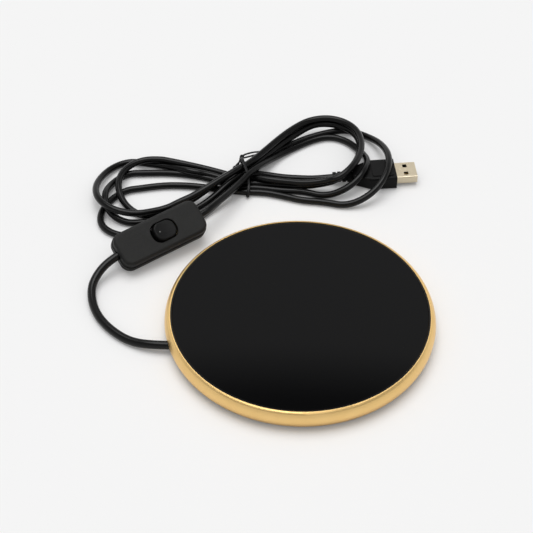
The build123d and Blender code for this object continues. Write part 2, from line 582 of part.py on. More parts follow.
def switch_lower_case():
    """Lower shell: tray with screw posts and the lower halves of the cord ways."""
    length = CASE_LENGTH + 2 * CASE_LIP
    width = CASE_WIDTH + 2 * CASE_LIP
    shell = rounded_plate(length, width, CASE_CORNER + CASE_LIP, CASE_BOTTOM, 0)
    shell = fillet(shell.faces().sort_by(Axis.Z)[0].edges(), CASE_FOOT_EDGE)
    inner_length = CASE_LENGTH - 2 * CASE_WALL
    inner_width = CASE_WIDTH - 2 * CASE_WALL
    shell -= rounded_plate(inner_length, inner_width, CASE_CORNER - CASE_WALL, CASE_FLOOR_TOP, 0)
    shell += clamp_ribs(CASE_FLOOR_TOP, 0)
    head_way = CASE_SCREW_HEAD[0] + CASE_SCREW_SPACE
    for x, y in CASE_SCREW_PLACES:
        shell += Pos(x, y, 0) * disc(CASE_BOSS_RADIUS, CASE_BOTTOM, 0)
        shell -= Pos(x, y, 0) * disc(head_way, CASE_BOTTOM, CASE_SCREW_SEAT)
        shell -= Pos(x, y, 0) * disc(CASE_SCREW_RADIUS + CASE_SCREW_SPACE, CASE_BOTTOM, 0)
    return SWITCH * (shell - cord_bores())


def case_screws():
    """Two small screws from below."""
    head_radius, head_height = CASE_SCREW_HEAD
    head = disc(head_radius, CASE_SCREW_SEAT - head_height, CASE_SCREW_SEAT)
    slot_width, slot_depth = CASE_SCREW_CROSS
    slot = Pos(0, 0, CASE_SCREW_SEAT - head_height) * Box(head_radius, slot_width, 2 * slot_depth)
    screw = head + disc(CASE_SCREW_RADIUS, CASE_SCREW_SEAT, CASE_SCREW_ENGAGE) - slot - Rot(0, 0, 90) * slot
    return [SWITCH * Pos(x, y, 0) * screw for x, y in CASE_SCREW_PLACES]


def rocker_button():
    """Rocker with a dished top, a pivot stub on each side and the plunger's housing below."""
    length = WELL_LENGTH - 2 * BUTTON_END_GAP
    width = WELL_WIDTH - 2 * BUTTON_SIDE_GAP
    low = PIVOT_DEPTH - BUTTON_DEPTH
    top = PIVOT_DEPTH + BUTTON_RISE
    body = rounded_plate(length, width, WELL_CORNER - BUTTON_SIDE_GAP, low, top)
    dish_radius = ((length / 2) ** 2 + BUTTON_DISH ** 2) / (2 * BUTTON_DISH)
    body -= Pos(0, 0, top - BUTTON_DISH + dish_radius) * across_y(dish_radius, width)
    body = fillet(body.faces().sort_by(Axis.Z)[-1].edges(), BUTTON_EDGE)
    body += across_y(PIVOT_RADIUS, WELL_WIDTH / 2 + WELL_COLLAR - STUB_INSET)
    body += disc(HOUSING_RADIUS, -HOUSING_REACH, low + BUTTON_EDGE)
    body -= disc(PLUNGER_RADIUS + PLUNGER_CLEARANCE, -HOUSING_REACH, spring_top())
    dot_radius, dot_height = BUTTON_DOT
    dot_top = top - BUTTON_DISH + BUTTON_DOT_X ** 2 / (2 * dish_radius) + dot_height
    body += Pos(BUTTON_DOT_X, 0, 0) * disc(dot_radius, dot_top - 2 * dot_height, dot_top)
    return SWITCH * ROCKER_AT_REST * body


def plunger_top():
    """Upper end of the plunger, above the rocker's pivot."""
    return PLUNGER_LENGTH - PLUNGER_REACH


def spring_top():
    """Closed end of the plunger's bore, above the rocker's pivot."""
    return plunger_top() + SPRING_LENGTH


def rocker_plunger():
    """Plunger with a round tip."""
    shaft = disc(PLUNGER_RADIUS, -PLUNGER_REACH, plunger_top())
    return SWITCH * ROCKER_AT_REST * (shaft + Pos(0, 0, -PLUNGER_REACH) * Sphere(PLUNGER_RADIUS))


def plunger_spring():
    """Compression spring above the plunger."""
    height = SPRING_LENGTH - 2 * SPRING_WIRE
    helix = Helix(height / SPRING_COILS, height, PLUNGER_RADIUS - SPRING_WIRE)
    coil = sweep(Plane(helix @ 0, z_dir=helix % 0) * Circle(SPRING_WIRE), path=helix)
    return SWITCH * ROCKER_AT_REST * Pos(0, 0, plunger_top() + SPRING_WIRE) * coil


def seesaw_contact():
    """Tilting blade on its pivot pin."""
    pin_reach = BLADE_WIDTH / 2 + EAR_GAP + EAR_THICKNESS + PIN_OVERHANG
    blade = Box(BLADE_LENGTH, BLADE_WIDTH, BLADE_THICKNESS) + across_y(BLADE_PIN, pin_reach)
    return SWITCH * BLADE_AT_REST * blade


def centre_terminal():
    """Brass plate on the case floor with two ears that carry the blade, and a tail for the wire."""
    ear_inner = BLADE_WIDTH / 2 + EAR_GAP
    ear_outer = ear_inner + EAR_THICKNESS
    base_width = 2 * ear_outer + TERMINAL_TAIL
    base = Pos(WELL_X, -TERMINAL_TAIL / 2, CASE_FLOOR_TOP + TERMINAL_THICKNESS / 2)
    plate = base * Box(EAR_LENGTH, base_width, TERMINAL_THICKNESS)
    for side in (-1, 1):
        ear = Pos(WELL_X, side * (ear_inner + ear_outer) / 2, CASE_FLOOR_TOP + EAR_HEIGHT / 2)
        plate += ear * Box(EAR_LENGTH, EAR_THICKNESS, EAR_HEIGHT)
    return SWITCH * (plate - BLADE_PIVOT * across_y(BLADE_PIN + PIVOT_CLEARANCE, ear_outer))


def fixed_contact():
    """Brass strip under the blade's far end."""
    centre = Pos(WELL_X + FIXED_START + FIXED_LENGTH / 2, 0, CASE_FLOOR_TOP + FIXED_THICKNESS / 2)
    return SWITCH * centre * Box(FIXED_LENGTH, BLADE_WIDTH, FIXED_THICKNESS)


def switch_wire_in():
    """Live wire from the front cord to the centre terminal's tail."""
    lie = CASE_FLOOR_TOP + TERMINAL_THICKNESS + SWITCH_WIRE_RADIUS
    tail_y = -(BLADE_WIDTH / 2 + EAR_GAP + EAR_THICKNESS + TERMINAL_TAIL - TAIL_OVERLAP)
    return SWITCH * tube([
        (-JACKET_END, -CORE_SPREAD, 0), (SWITCH_WIRE_RUN - JACKET_END, -CORE_SPREAD, 0), LIVE_CORNER,
        (LIVE_LANDING, tail_y, lie), (WELL_X + EAR_LENGTH / 2, tail_y, lie),
    ], SWITCH_WIRE_RADIUS)


def switch_wire_out():
    """Live wire from the fixed contact to the USB cord."""
    lie = CASE_FLOOR_TOP + FIXED_THICKNESS + SWITCH_WIRE_RADIUS
    fixed_end = WELL_X + FIXED_START + FIXED_LENGTH
    return SWITCH * tube([
        (fixed_end - FIXED_OVERLAP, 0, lie), (fixed_end, 0, lie),
        (JACKET_END - SWITCH_WIRE_RUN, -CORE_SPREAD, 0), (JACKET_END, -CORE_SPREAD, 0),
    ], SWITCH_WIRE_RADIUS)


def switch_wire_through():
    """Return wire that passes through the case beside the contacts."""
    lie = CASE_FLOOR_TOP + SWITCH_WIRE_RADIUS + SWITCH_WIRE_LIFT
    fall, landing = THROUGH_FALL
    lift_off, climb = THROUGH_CLIMB
    return SWITCH * tube([
        (-JACKET_END, CORE_SPREAD, 0), (SWITCH_WIRE_RUN - JACKET_END, CORE_SPREAD, 0), fall, (*landing, lie),
        (*lift_off, lie), climb, (JACKET_END - SWITCH_WIRE_RUN, CORE_SPREAD, 0), (JACKET_END, CORE_SPREAD, 0),
    ], SWITCH_WIRE_RADIUS)


# ---- Plug --------------------------------------------------------------------------------------
PLUG = Pos(*PLUG_BASE, GRIP_HEIGHT / 2) * Rot(0, 0, PLUG_YAW)
GRIP_BACK = -GRIP_LENGTH - GRIP_TAPER
RELIEF_END = GRIP_BACK - RELIEF_LENGTH


def plug_axis(x):
    """A point on the axis of the plug, in the model's frame."""
    return tuple((PLUG * Pos(x, 0, 0)).position)


def section(x, width, height, corner):
    """A rounded rectangle across the plug's axis."""
    plane = Plane((x, 0, 0), x_dir=(0, 1, 0), z_dir=(1, 0, 0))
    return plane * RectangleRounded(width, height, corner)


def plug_body():
    """Moulded grip: a block that tapers to the strain relief, with a raised plain panel on top."""
    grip = extrude(section(-GRIP_LENGTH, GRIP_WIDTH, GRIP_HEIGHT, GRIP_CORNER), GRIP_LENGTH)
    neck_width, neck_height = GRIP_NECK
    grip += loft([
        section(GRIP_BACK, neck_width, neck_height, GRIP_CORNER),
        section(-GRIP_LENGTH, GRIP_WIDTH, GRIP_HEIGHT, GRIP_CORNER),
    ])
    panel_top = GRIP_HEIGHT / 2 + PANEL_HEIGHT
    grip += Pos(-PANEL_BACK, 0, 0) * rounded_plate(*PANEL_SIZE, PANEL_CORNER, 0, panel_top)
    grip -= extrude(section(-SHELL_IN_GRIP, SHELL_WIDTH, SHELL_HEIGHT, SHELL_CORNER), SHELL_IN_GRIP)
    grip -= along_x(USB_CORD_RADIUS, GRIP_BACK, GRIP_BACK + CORD_IN_GRIP)
    return PLUG * grip


def plug_strain_relief():
    """Soft tapered boot with round ribs, bored for the cord."""
    pitch = RELIEF_LENGTH / RELIEF_RIBS
    profile = [(RELIEF_END, USB_CORD_RADIUS)]
    for rib in range(RELIEF_RIBS):
        start = RELIEF_END + rib * pitch
        radius = RELIEF_END_RADIUS + (RELIEF_RADIUS - RELIEF_END_RADIUS) * rib / (RELIEF_RIBS - 1)
        crest = start + RIB_SHARE * pitch
        profile += [(start, radius), (crest, radius), (crest, radius - RIB_GROOVE)]
        profile += [(start + pitch, radius - RIB_GROOVE)]
    profile += [(GRIP_BACK, USB_CORD_RADIUS)]
    face = make_face(Polyline(*[(x, y, 0) for x, y in profile], close=True))
    return PLUG * revolve(face, Axis.X)


def usb_shell():
    """Folded metal shell, open at its mouth, with two square holes in each face and a dimple on top."""
    start = -SHELL_IN_GRIP
    length = SHELL_IN_GRIP + SHELL_LENGTH
    shell = extrude(section(start, SHELL_WIDTH, SHELL_HEIGHT, SHELL_CORNER), length)
    inner_width = SHELL_WIDTH - 2 * SHELL_WALL
    inner_height = SHELL_HEIGHT - 2 * SHELL_WALL
    shell -= extrude(section(start, inner_width, inner_height, SHELL_CORNER - SHELL_WALL), length)
    for side in (-1, 1):
        hole = Pos(SHELL_LENGTH - SHELL_HOLE_BACK, side * SHELL_HOLE_SPREAD / 2, 0)
        shell -= hole * Box(SHELL_HOLE, SHELL_HOLE, 2 * SHELL_HEIGHT)
    ball_radius, depth = SHELL_DIMPLE
    ball_z = SHELL_HEIGHT / 2 + ball_radius - depth
    shell -= Pos(SHELL_LENGTH - SHELL_DIMPLE_BACK, 0, ball_z) * Sphere(ball_radius)
    return PLUG * shell


def tongue_top():
    """Upper face of the tongue, on the plug's axis frame."""
    return SHELL_WALL - SHELL_HEIGHT / 2 + TONGUE_THICKNESS


def contact_block(spread):
    """Space of one contact in the tongue's upper face."""
    length, width, depth = CONTACT_SIZE
    end = SHELL_LENGTH - TONGUE_RECESS - CONTACT_RECESS
    return Pos(end - length / 2, spread, tongue_top() - depth / 2) * Box(length, width, depth)


def usb_tongue():
    """Insulator: a thin tongue on the shell's lower wall and a root that fills the shell in the grip."""
    inner_width = SHELL_WIDTH - 2 * SHELL_CORNER
    floor = SHELL_WALL - SHELL_HEIGHT / 2
    end = SHELL_LENGTH - TONGUE_RECESS
    tongue_length = end + SHELL_IN_GRIP
    tongue_centre = Pos(end - tongue_length / 2, 0, floor + TONGUE_THICKNESS / 2)
    tongue = tongue_centre * Box(tongue_length, inner_width, TONGUE_THICKNESS)
    root_height = SHELL_HEIGHT - 2 * SHELL_WALL
    tongue += Pos(TONGUE_ROOT / 2 - SHELL_IN_GRIP, 0, 0) * Box(TONGUE_ROOT, inner_width, root_height)
    for spread in CONTACT_SPREADS:
        tongue -= contact_block(spread)
    return PLUG * tongue


def usb_contacts():
    """Four flat contacts in the tongue."""
    return [PLUG * contact_block(spread) for spread in CONTACT_SPREADS]


# ---- Cords, hank and tie -----------------------------------------------------------------------
def front_cord():
    """Cord from the plate to the switch."""
    start = (CORD_END_INSIDE, CORD_EXIT_Y, CORD_EXIT_Z)
    outside = (-PLATE_RADIUS - CORD_EXIT_RUN, CORD_EXIT_Y, CORD_EXIT_Z)
    end = [switch_axis(-JACKET_END - FRONT_CORD_LAST_RUN), switch_axis(-JACKET_END)]
    return tube([start, outside, *FRONT_ROUTE, *end], FRONT_CORD_RADIUS, "front_cord")


def hank_lead():
    """First stretch of the USB cord, from the switch into the hank."""
    route = [switch_axis(JACKET_END), switch_axis(JACKET_END + LEAD_FIRST_RUN), *LEAD_ROUTE]
    return tube(route, USB_CORD_RADIUS, "hank_lead")


def hank_tail():
    """Last stretch of the USB cord, from the hank into the plug's strain relief."""
    end = GRIP_BACK + CORD_IN_GRIP
    route = [TAIL_START, plug_axis(end - TAIL_LAST_RUN), plug_axis(end)]
    return tube(route, USB_CORD_RADIUS, "hank_tail")


def switch_room():
    """The switch with a clearance round it, open upwards."""
    length = CASE_LENGTH + 2 * (CASE_LIP + HANK_CLEARANCE)
    width = CASE_WIDTH + 2 * (CASE_LIP + HANK_CLEARANCE)
    low = CASE_BOTTOM - HANK_CLEARANCE
    return SWITCH * rounded_plate(length, width, CASE_CORNER, low, low + 2 * CASE_HEIGHT)


def plug_room():
    """The plug with a clearance round it, down to the floor."""
    spare = 2 * HANK_CLEARANCE
    floor = -GRIP_HEIGHT
    grip_top = GRIP_HEIGHT / 2 + PANEL_HEIGHT + HANK_CLEARANCE
    grip_place = Pos(GRIP_BACK / 2, 0, (floor + grip_top) / 2)
    grip = grip_place * Box(spare - GRIP_BACK, GRIP_WIDTH + spare, grip_top - floor)
    relief_height = RELIEF_RADIUS + HANK_CLEARANCE - floor
    relief_place = Pos(GRIP_BACK - RELIEF_LENGTH / 2, 0, floor + relief_height / 2)
    relief = relief_place * Box(RELIEF_LENGTH + spare, 2 * RELIEF_RADIUS + spare, relief_height)
    shell = Pos(SHELL_LENGTH / 2, 0, 0) * Box(SHELL_LENGTH + spare, SHELL_WIDTH + spare, 2 * GRIP_HEIGHT)
    return PLUG * (grip + relief + shell)


def tie_section(margin):
    """A rounded rectangle across the hank, grown by a margin from the inside of the tie."""
    near, far = TIE_SPAN
    width = far - near + 2 * margin
    height = BUNDLE_HEIGHT - TIE_THICKNESS + 2 * margin
    middle = (0, (near + far) / 2, (BUNDLE_HEIGHT + TIE_THICKNESS) / 2)
    plane = Plane(middle, x_dir=(0, 1, 0), z_dir=(1, 0, 0))
    return plane * RectangleRounded(width, height, TIE_CORNER + margin)


def tie_groove():
    """What the tie's loop takes from the hank."""
    width = TIE_WIDTH + 2 * TIE_GAP
    near, far = TIE_SPAN
    band = Pos(TIE_X, (near + far) / 2, BUNDLE_HEIGHT / 2) * Box(width, 2 * (far - near), 2 * BUNDLE_HEIGHT)
    return band - Pos(TIE_X - width / 2, 0, 0) * extrude(tie_section(-TIE_GAP), width)


def cord_hank(lead, tail, tie):
    """The tied turns as one body: low lobes, a higher bundle, and bridges over the plug."""
    hank = block_on(HANK_OUTLINE, 0, LOBE_HEIGHT) + block_on(BUNDLE_OUTLINE, 0, BUNDLE_HEIGHT)
    hank += block_on(GRIP_BRIDGE_OUTLINE, LOBE_HEIGHT / 2, GRIP_BRIDGE_HEIGHT)
    hank += block_on(RELIEF_BRIDGE_OUTLINE, LOBE_HEIGHT / 2, RELIEF_BRIDGE_HEIGHT)
    for opening in (LEFT_OPENING, RIGHT_OPENING):
        hank -= block_on(opening, -1, BUNDLE_HEIGHT + 1)
    for room in (switch_room(), plug_room(), tie_groove(), tie, lead, tail):
        hank -= room
    return hank


def twist_tie():
    """Loop round the hank, a twisted knot on its far side and two free ends."""
    loop = extrude(tie_section(TIE_THICKNESS), TIE_WIDTH) - extrude(tie_section(0), TIE_WIDTH)
    tie = Pos(TIE_X - TIE_WIDTH / 2, 0, 0) * loop
    knot = (TIE_X, TIE_SPAN[1] + TIE_THICKNESS + KNOT_RADIUS - KNOT_SINK, KNOT_Z)
    return tie + Pos(*knot) * Sphere(KNOT_RADIUS) + tube([knot, *TIE_END_CORNERS], TIE_END_RADIUS)


LEAD = hank_lead()
TAIL = hank_tail()
TIE = twist_tie()
NODES = {
    "glass_top": glass_top(),
    "glass_bond": glass_bond(),
    "rim_ring": rim_ring(),
    "heat_spreader": disc(SPREADER_RADIUS, SPREADER_BOTTOM, GLASS_BOTTOM),
    "heating_film": disc(FILM_RADIUS, FILM_BOTTOM, SPREADER_BOTTOM),
    "insulation_pad": insulation_pad(),
    "thermostat": thermostat(),
    "thermal_fuse": thermal_fuse(),
    "lead_live": lead_live(),
    "lead_return": lead_return(),
    "fuse_link": fuse_link(),
    "base_pan": base_pan(),
    "base_screws": base_screws(),
    "rubber_feet": rubber_feet(),
    "cord_grommet": cord_grommet(),
    "switch_upper_case": switch_upper_case(),
    "switch_lower_case": switch_lower_case(),
    "case_screws": case_screws(),
    "rocker_button": rocker_button(),
    "rocker_plunger": rocker_plunger(),
    "plunger_spring": plunger_spring(),
    "seesaw_contact": seesaw_contact(),
    "centre_terminal": centre_terminal(),
    "fixed_contact": fixed_contact(),
    "switch_wire_in": switch_wire_in(),
    "switch_wire_out": switch_wire_out(),
    "switch_wire_through": switch_wire_through(),
    "front_cord": front_cord(),
    "hank_lead": LEAD,
    "cord_hank": cord_hank(LEAD, TAIL, TIE),
    "hank_tail": TAIL,
    "twist_tie": TIE,
    "plug_body": plug_body(),
    "plug_strain_relief": plug_strain_relief(),
    "usb_shell": usb_shell(),
    "usb_tongue": usb_tongue(),
    "usb_contacts": usb_contacts(),
}

os.makedirs("parts", exist_ok=True)
for node_name, shape in NODES.items():
    if isinstance(shape, list):
        shape = Compound(children=shape)
    export_step(shape, f"parts/{node_name}.step")
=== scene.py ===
import math

import bpy
import numpy as np
from mathutils import Matrix


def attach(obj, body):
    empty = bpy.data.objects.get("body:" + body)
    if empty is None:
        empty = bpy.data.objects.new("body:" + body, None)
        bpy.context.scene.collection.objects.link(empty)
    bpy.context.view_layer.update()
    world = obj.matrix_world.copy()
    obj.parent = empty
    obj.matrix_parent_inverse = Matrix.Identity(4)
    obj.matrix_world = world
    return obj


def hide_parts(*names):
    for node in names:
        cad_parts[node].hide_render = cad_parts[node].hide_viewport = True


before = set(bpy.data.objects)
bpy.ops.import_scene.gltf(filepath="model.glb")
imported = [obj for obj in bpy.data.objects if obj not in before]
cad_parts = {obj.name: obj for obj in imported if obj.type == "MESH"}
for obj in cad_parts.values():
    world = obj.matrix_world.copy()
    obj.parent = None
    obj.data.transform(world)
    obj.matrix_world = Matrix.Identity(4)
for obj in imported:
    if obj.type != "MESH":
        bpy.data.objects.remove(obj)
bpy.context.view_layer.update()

# Electric mug warmer: a glass heating plate in a gold ring, an in-line rocker switch, and a USB cord in a
# tied hank. Metres; +X right, +Y away from the viewer, +Z up, the origin on the table under the plate.

# ---- Table, light and camera -------------------------------------------------------------------
# Not part of the object: a white painted table top under a wide soft light, almost overhead and a little
# behind, with a fill from all round. The camera looks down at 45 degrees from in front, through a long
# lens.

CAMERA_PLACE = (-0.01635, -0.4949, 0.5345)
CAMERA_PITCH = 45.07          # degrees up from straight down
CAMERA_ROLL = 0.45            # degrees
CAMERA_LENS = 101.86          # millimetres on a 36 mm wide frame
TABLE_REACH = 3.0
TABLE_SCREEN = 245            # screen value of the table top and of what lies beyond it
TABLE_LIFT = 0.12             # share of the table that looks as bright in shade as in the light
SUN_ELEVATION = 76.0          # degrees
SUN_AZIMUTH = 107.0           # degrees from +X towards +Y
SUN_WIDTH = 48.0              # degrees across
FILL = 0.57                   # share of the light that comes from all round
FILL_LOW = 0.1                # share of the fill that is the same all round; the rest rises with the height
FILL_RISE = 1.5               # makes up for the table getting two thirds of what rises with the height
WALL_LEVEL = 0.5              # what polished faces mirror of the far wall
DARK_LEVEL = 0.04             # and of the dark ceiling above it
DARK_EDGE = (0.742, 0.764)    # heights on a unit sphere between which the dark ceiling begins
FAR_STOPS = [                 # what they mirror of the room's far half, from the horizon up
    (0.0, 1.0),
    (0.35, 0.9),
    (0.6, WALL_LEVEL),
    (DARK_EDGE[0], WALL_LEVEL),
    (DARK_EDGE[1], DARK_LEVEL),
]
NEAR_STOPS = [                # and of the half behind the viewer
    (0.0, 0.75),
    (0.3, 0.75),
    (0.6, 0.5),
    (0.75, 0.25),
]
HALVES_MEET = (0.05, 0.4)     # where the near half gives way to the far one, along Y on a unit sphere
LAMP_EDGE = (0.9, 0.94)       # heights between which the lamp overhead begins
LAMP_LEVEL = 2.6              # what they mirror of it


def screen(red, green, blue):
    """The linear colour that shows as these screen values: ((s / 255 + 0.055) / 1.055) to the power 2.4."""
    shares = ((value / 255 + 0.055) / 1.055 for value in (red, green, blue))
    return (*(share ** 2.4 for share in shares), 1.0)


class Value:
    """One output of a shader node. Sums, products and powers of values add the Math nodes that give them."""

    def __init__(self, nodes, socket):
        self.nodes = nodes
        self.socket = socket

    def math(self, operation, first, second):
        """The Math node of that operation on two numbers or values."""
        return self.nodes.add("ShaderNodeMath", {"operation": operation}, {0: first, 1: second})

    def __add__(self, other):
        return self.math("ADD", self, other)

    __radd__ = __add__

    def __mul__(self, other):
        return self.math("MULTIPLY", self, other)

    __rmul__ = __mul__

    def __pow__(self, other):
        return self.math("POWER", self, other)


class Nodes:
    """The shader nodes of one material, or of the world."""

    def __init__(self, owner):
        owner.use_nodes = True
        self.tree = owner.node_tree
        self.tree.nodes.clear()

    def add(self, kind, settings=None, inputs=None, output=0):
        """Adds a node: its settings first, then its sockets' values or links. Gives one of its outputs."""
        node = self.tree.nodes.new(kind)
        for name, setting in (settings or {}).items():
            if name == "stops":
                self.set_stops(node.color_ramp, setting)
            else:
                setattr(node, name, setting)
        for name, value in (inputs or {}).items():
            if isinstance(value, Value):
                self.tree.links.new(value.socket, node.inputs[name])
            else:
                node.inputs[name].default_value = value
        return Value(self, node.outputs[output]) if node.outputs else None

    def set_stops(self, ramp, stops):
        """Gives a ramp its stops, each a place from 0 to 1 and a grey level."""
        while len(ramp.elements) < len(stops):
            ramp.elements.new(1.0)
        for element, (place, level) in zip(ramp.elements, stops):
            element.position = place
            element.color = (level, level, level, 1.0)

    def ramp(self, value, stops):
        """A number carried along a ramp of grey levels."""
        return self.add("ShaderNodeValToRGB", {"stops": stops}, {"Fac": value})

    def mix(self, share, low, high):
        """A colour between low and high."""
        return self.add("ShaderNodeMix", {"data_type": "RGBA"}, {0: share, 6: low, 7: high}, 2)


def mesh_piece(name, rows, closed_across=True):
    """A mesh on a grid of points, rows[i, j]. Faces join neighbours, and last to first across, if closed."""
    count_along, count_across = rows.shape[:2]
    along = np.arange(count_along - 1)[:, None]
    across = np.arange(count_across if closed_across else count_across - 1)[None, :]
    next_across = (across + 1) % count_across
    corners = (
        along * count_across + across,
        (along + 1) * count_across + across,
        (along + 1) * count_across + next_across,
        along * count_across + next_across,
    )
    faces = np.stack(np.broadcast_arrays(*corners), axis=-1).reshape(-1, 4)
    mesh = bpy.data.meshes.new(name)
    mesh.from_pydata(rows.reshape(-1, 3).tolist(), [], faces.tolist())
    mesh.shade_smooth()
    piece = bpy.data.objects.new(name, mesh)
    bpy.context.scene.collection.objects.link(piece)
    return piece


table_edges = np.array([-TABLE_REACH, TABLE_REACH])
table_x, table_y = np.meshgrid(table_edges, table_edges)
table = mesh_piece("table_top", np.stack([table_x, table_y, 0 * table_x], axis=-1), closed_across=False)
paint = Nodes(bpy.data.materials.new("table_paint"))
table_white = screen(TABLE_SCREEN, TABLE_SCREEN, TABLE_SCREEN)
white = paint.add("ShaderNodeBsdfDiffuse", {}, {"Color": table_white})
glow = paint.add("ShaderNodeEmission", {}, {"Color": table_white})
looked_at = paint.add("ShaderNodeLightPath", output="Is Camera Ray")
lifted = paint.add("ShaderNodeMixShader", {}, {0: looked_at * TABLE_LIFT, 1: white, 2: glow})
paint.add("ShaderNodeOutputMaterial", {}, {"Surface": lifted})
table.data.materials.append(bpy.data.materials["table_paint"])

lamp = bpy.data.lights.new("window", "SUN")
lamp.angle = math.radians(SUN_WIDTH)
lamp.energy = (1 - FILL) * math.pi / math.sin(math.radians(SUN_ELEVATION))
window = bpy.data.objects.new("window", lamp)
sun_tilt = Matrix.Rotation(math.radians(90 - SUN_ELEVATION), 4, "Y")
window.matrix_world = Matrix.Rotation(math.radians(SUN_AZIMUTH), 4, "Z") @ sun_tilt
bpy.context.scene.collection.objects.link(window)

world = bpy.data.worlds.new("room")
bpy.context.scene.world = world
room = Nodes(world)
way = room.add("ShaderNodeTexCoord", output="Generated")
height = room.add("ShaderNodeSeparateXYZ", {}, {0: way}, "Z")
away = room.add("ShaderNodeSeparateXYZ", {}, {0: way}, "Y")
far_share = room.ramp(away, [(HALVES_MEET[0], 0.0), (HALVES_MEET[1], 1.0)])
walls = room.mix(far_share, room.ramp(height, NEAR_STOPS), room.ramp(height, FAR_STOPS))
overhead = room.ramp(height, [(LAMP_EDGE[0], 0.0), (LAMP_EDGE[1], 1.0)])
ceiling = room.mix(overhead, walls, (LAMP_LEVEL, LAMP_LEVEL, LAMP_LEVEL, 1.0))
glossy = room.add("ShaderNodeLightPath", output="Is Glossy Ray")
seen = room.add("ShaderNodeLightPath", output="Is Camera Ray")
fill = height * (FILL_RISE * FILL * (1 - FILL_LOW)) + FILL * FILL_LOW
unseen = room.mix(glossy, fill, ceiling)
light = room.mix(seen, unseen, table_white)
background = room.add("ShaderNodeBackground", {}, {"Color": light})
room.add("ShaderNodeOutputWorld", {}, {"Surface": background})

lens = bpy.data.cameras.new("camera")
lens.lens = CAMERA_LENS
camera = bpy.data.objects.new("camera", lens)
pitch = Matrix.Rotation(math.radians(CAMERA_PITCH), 4, "X")
roll = Matrix.Rotation(math.radians(CAMERA_ROLL), 4, "Z")
camera.matrix_world = Matrix.Translation(CAMERA_PLACE) @ pitch @ roll
bpy.context.scene.collection.objects.link(camera)
bpy.context.scene.camera = camera
bpy.context.scene.view_settings.view_transform = "Standard"

# ---- Front cord: plate to switch ---------------------------------------------------------------
# Round PVC cord, 4.2 mm, two insulated wires inside. It leaves the plate's ring through a bushing, curves
# back on the table and rises into the end of the switch. The surface is smooth as it came from the
# extruder, a little dusty.

MM = 0.001
FRONT_CORD_DIAMETER = 4.2 * MM
CORD_BLACK = screen(6, 6, 6)
CORD_DUST = screen(24, 24, 23)
CORD_SHINE = 0.21             # of plasticised PVC, which mirrors less than a bare plastic
DUST_PATCH = 9 * MM
DUST_FADE = 3.0               # the power that leaves dust only in the middle of a patch
SKIN_GRAIN = 0.35 * MM
SKIN_DEPTH = 0.02 * MM
CURVE_STEPS = 10              # between two points of a cord's route
ROUND_STEPS = 6               # along a quarter of its section
BODY = "plate_and_cord"


class Finish(Nodes):
    """A surface finish: one Principled shader, with patterns on the object's own coordinates, in metres."""

    def __init__(self, name):
        self.material = bpy.data.materials.new(name)
        super().__init__(self.material)
        self.place = self.add("ShaderNodeTexCoord", output="Object")

    def noise(self, grain, detail=2.0, stretch=(1.0, 1.0, 1.0)):
        """Noise from 0 to 1 with that size of grain in metres, longer along an axis of small stretch."""
        place = self.add("ShaderNodeMapping", {}, {"Vector": self.place, "Scale": stretch})
        return self.add("ShaderNodeTexNoise", {}, {"Vector": place, "Scale": 1 / grain, "Detail": detail})

    def uneven(self, level, swing, patch):
        """A level that wanders over the surface: level plus swing times the noise of that size of patch."""
        return self.noise(patch) * swing + level

    def axis(self, name):
        """One coordinate of the place on the object, in metres."""
        return self.add("ShaderNodeSeparateXYZ", {}, {0: self.place}, name)

    def bump(self, height, depth):
        """Relief from a height of 0 to 1, that many metres deep."""
        return self.add("ShaderNodeBump", {}, {"Height": height, "Distance": depth})

    def done(self, **sockets):
        """Ends the finish with its shader, its sockets named with _ for a space. Gives the material."""
        named = {name.replace("_", " "): value for name, value in sockets.items()}
        shader = self.add("ShaderNodeBsdfPrincipled", {}, named)
        self.add("ShaderNodeOutputMaterial", {}, {"Surface": shader})
        return self.material


def dress(material, *names):
    """Gives CAD nodes their finish."""
    for name in names:
        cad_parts[name].material_slots[0].material = material


def cord_curve(name, points, diameter, material):
    """A round cord on one smooth NURBS line, with its route's points, in millimetres, as control points."""
    curve = bpy.data.curves.new(name, "CURVE")
    curve.dimensions = "3D"
    line = curve.splines.new("NURBS")
    line.points.add(len(points) - 1)
    placed = np.column_stack([np.array(points) * MM, np.ones(len(points))])
    line.points.foreach_set("co", placed.ravel())
    line.order_u = 3
    line.use_endpoint_u = True
    line.resolution_u = CURVE_STEPS
    curve.bevel_depth = diameter / 2
    curve.bevel_resolution = ROUND_STEPS
    curve.use_fill_caps = True
    curve.materials.append(material)
    cord = bpy.data.objects.new(name, curve)
    bpy.context.scene.collection.objects.link(cord)
    return cord


pvc = Finish("cord_pvc")
dust = pvc.noise(DUST_PATCH, detail=5.0) ** DUST_FADE
cord_pvc = pvc.done(
    Base_Color=pvc.mix(dust, CORD_BLACK, CORD_DUST),
    Roughness=pvc.uneven(0.18, swing=0.1, patch=4 * MM),
    Normal=pvc.bump(pvc.noise(SKIN_GRAIN), SKIN_DEPTH),
    Specular_IOR_Level=CORD_SHINE,
)

front_route = [
    (-56.0, -16.6, 4.2),
    (-68.4, -16.6, 4.2),
    (-80.5, -12.9, 2.15),
    (-90.0, -5.9, 2.15),
    (-97.4, 3.2, 2.15),
    (-101.6, 13.8, 2.2),
    (-102.4, 25.6, 3.6),
    (-94.65, 36.69, 8.07),
    (-86.53, 41.96, 8.75),
]
front_cord = cord_curve("front_cord_jacket", front_route, FRONT_CORD_DIAMETER, cord_pvc)
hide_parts("front_cord")
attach(front_cord, BODY)

# ---- USB cord in its hank ----------------------------------------------------------------------
# Thinner PVC cord, 3.6 mm and about 1.58 m long, from the switch through four loose turns to the plug. The
# turns cross each other in a pile under the tie and fan out at both ends.

USB_CORD_DIAMETER = 3.6 * MM
BEND_POINTS = 9               # of the route on one end of a turn
RIGHT = 1
LEFT = -1


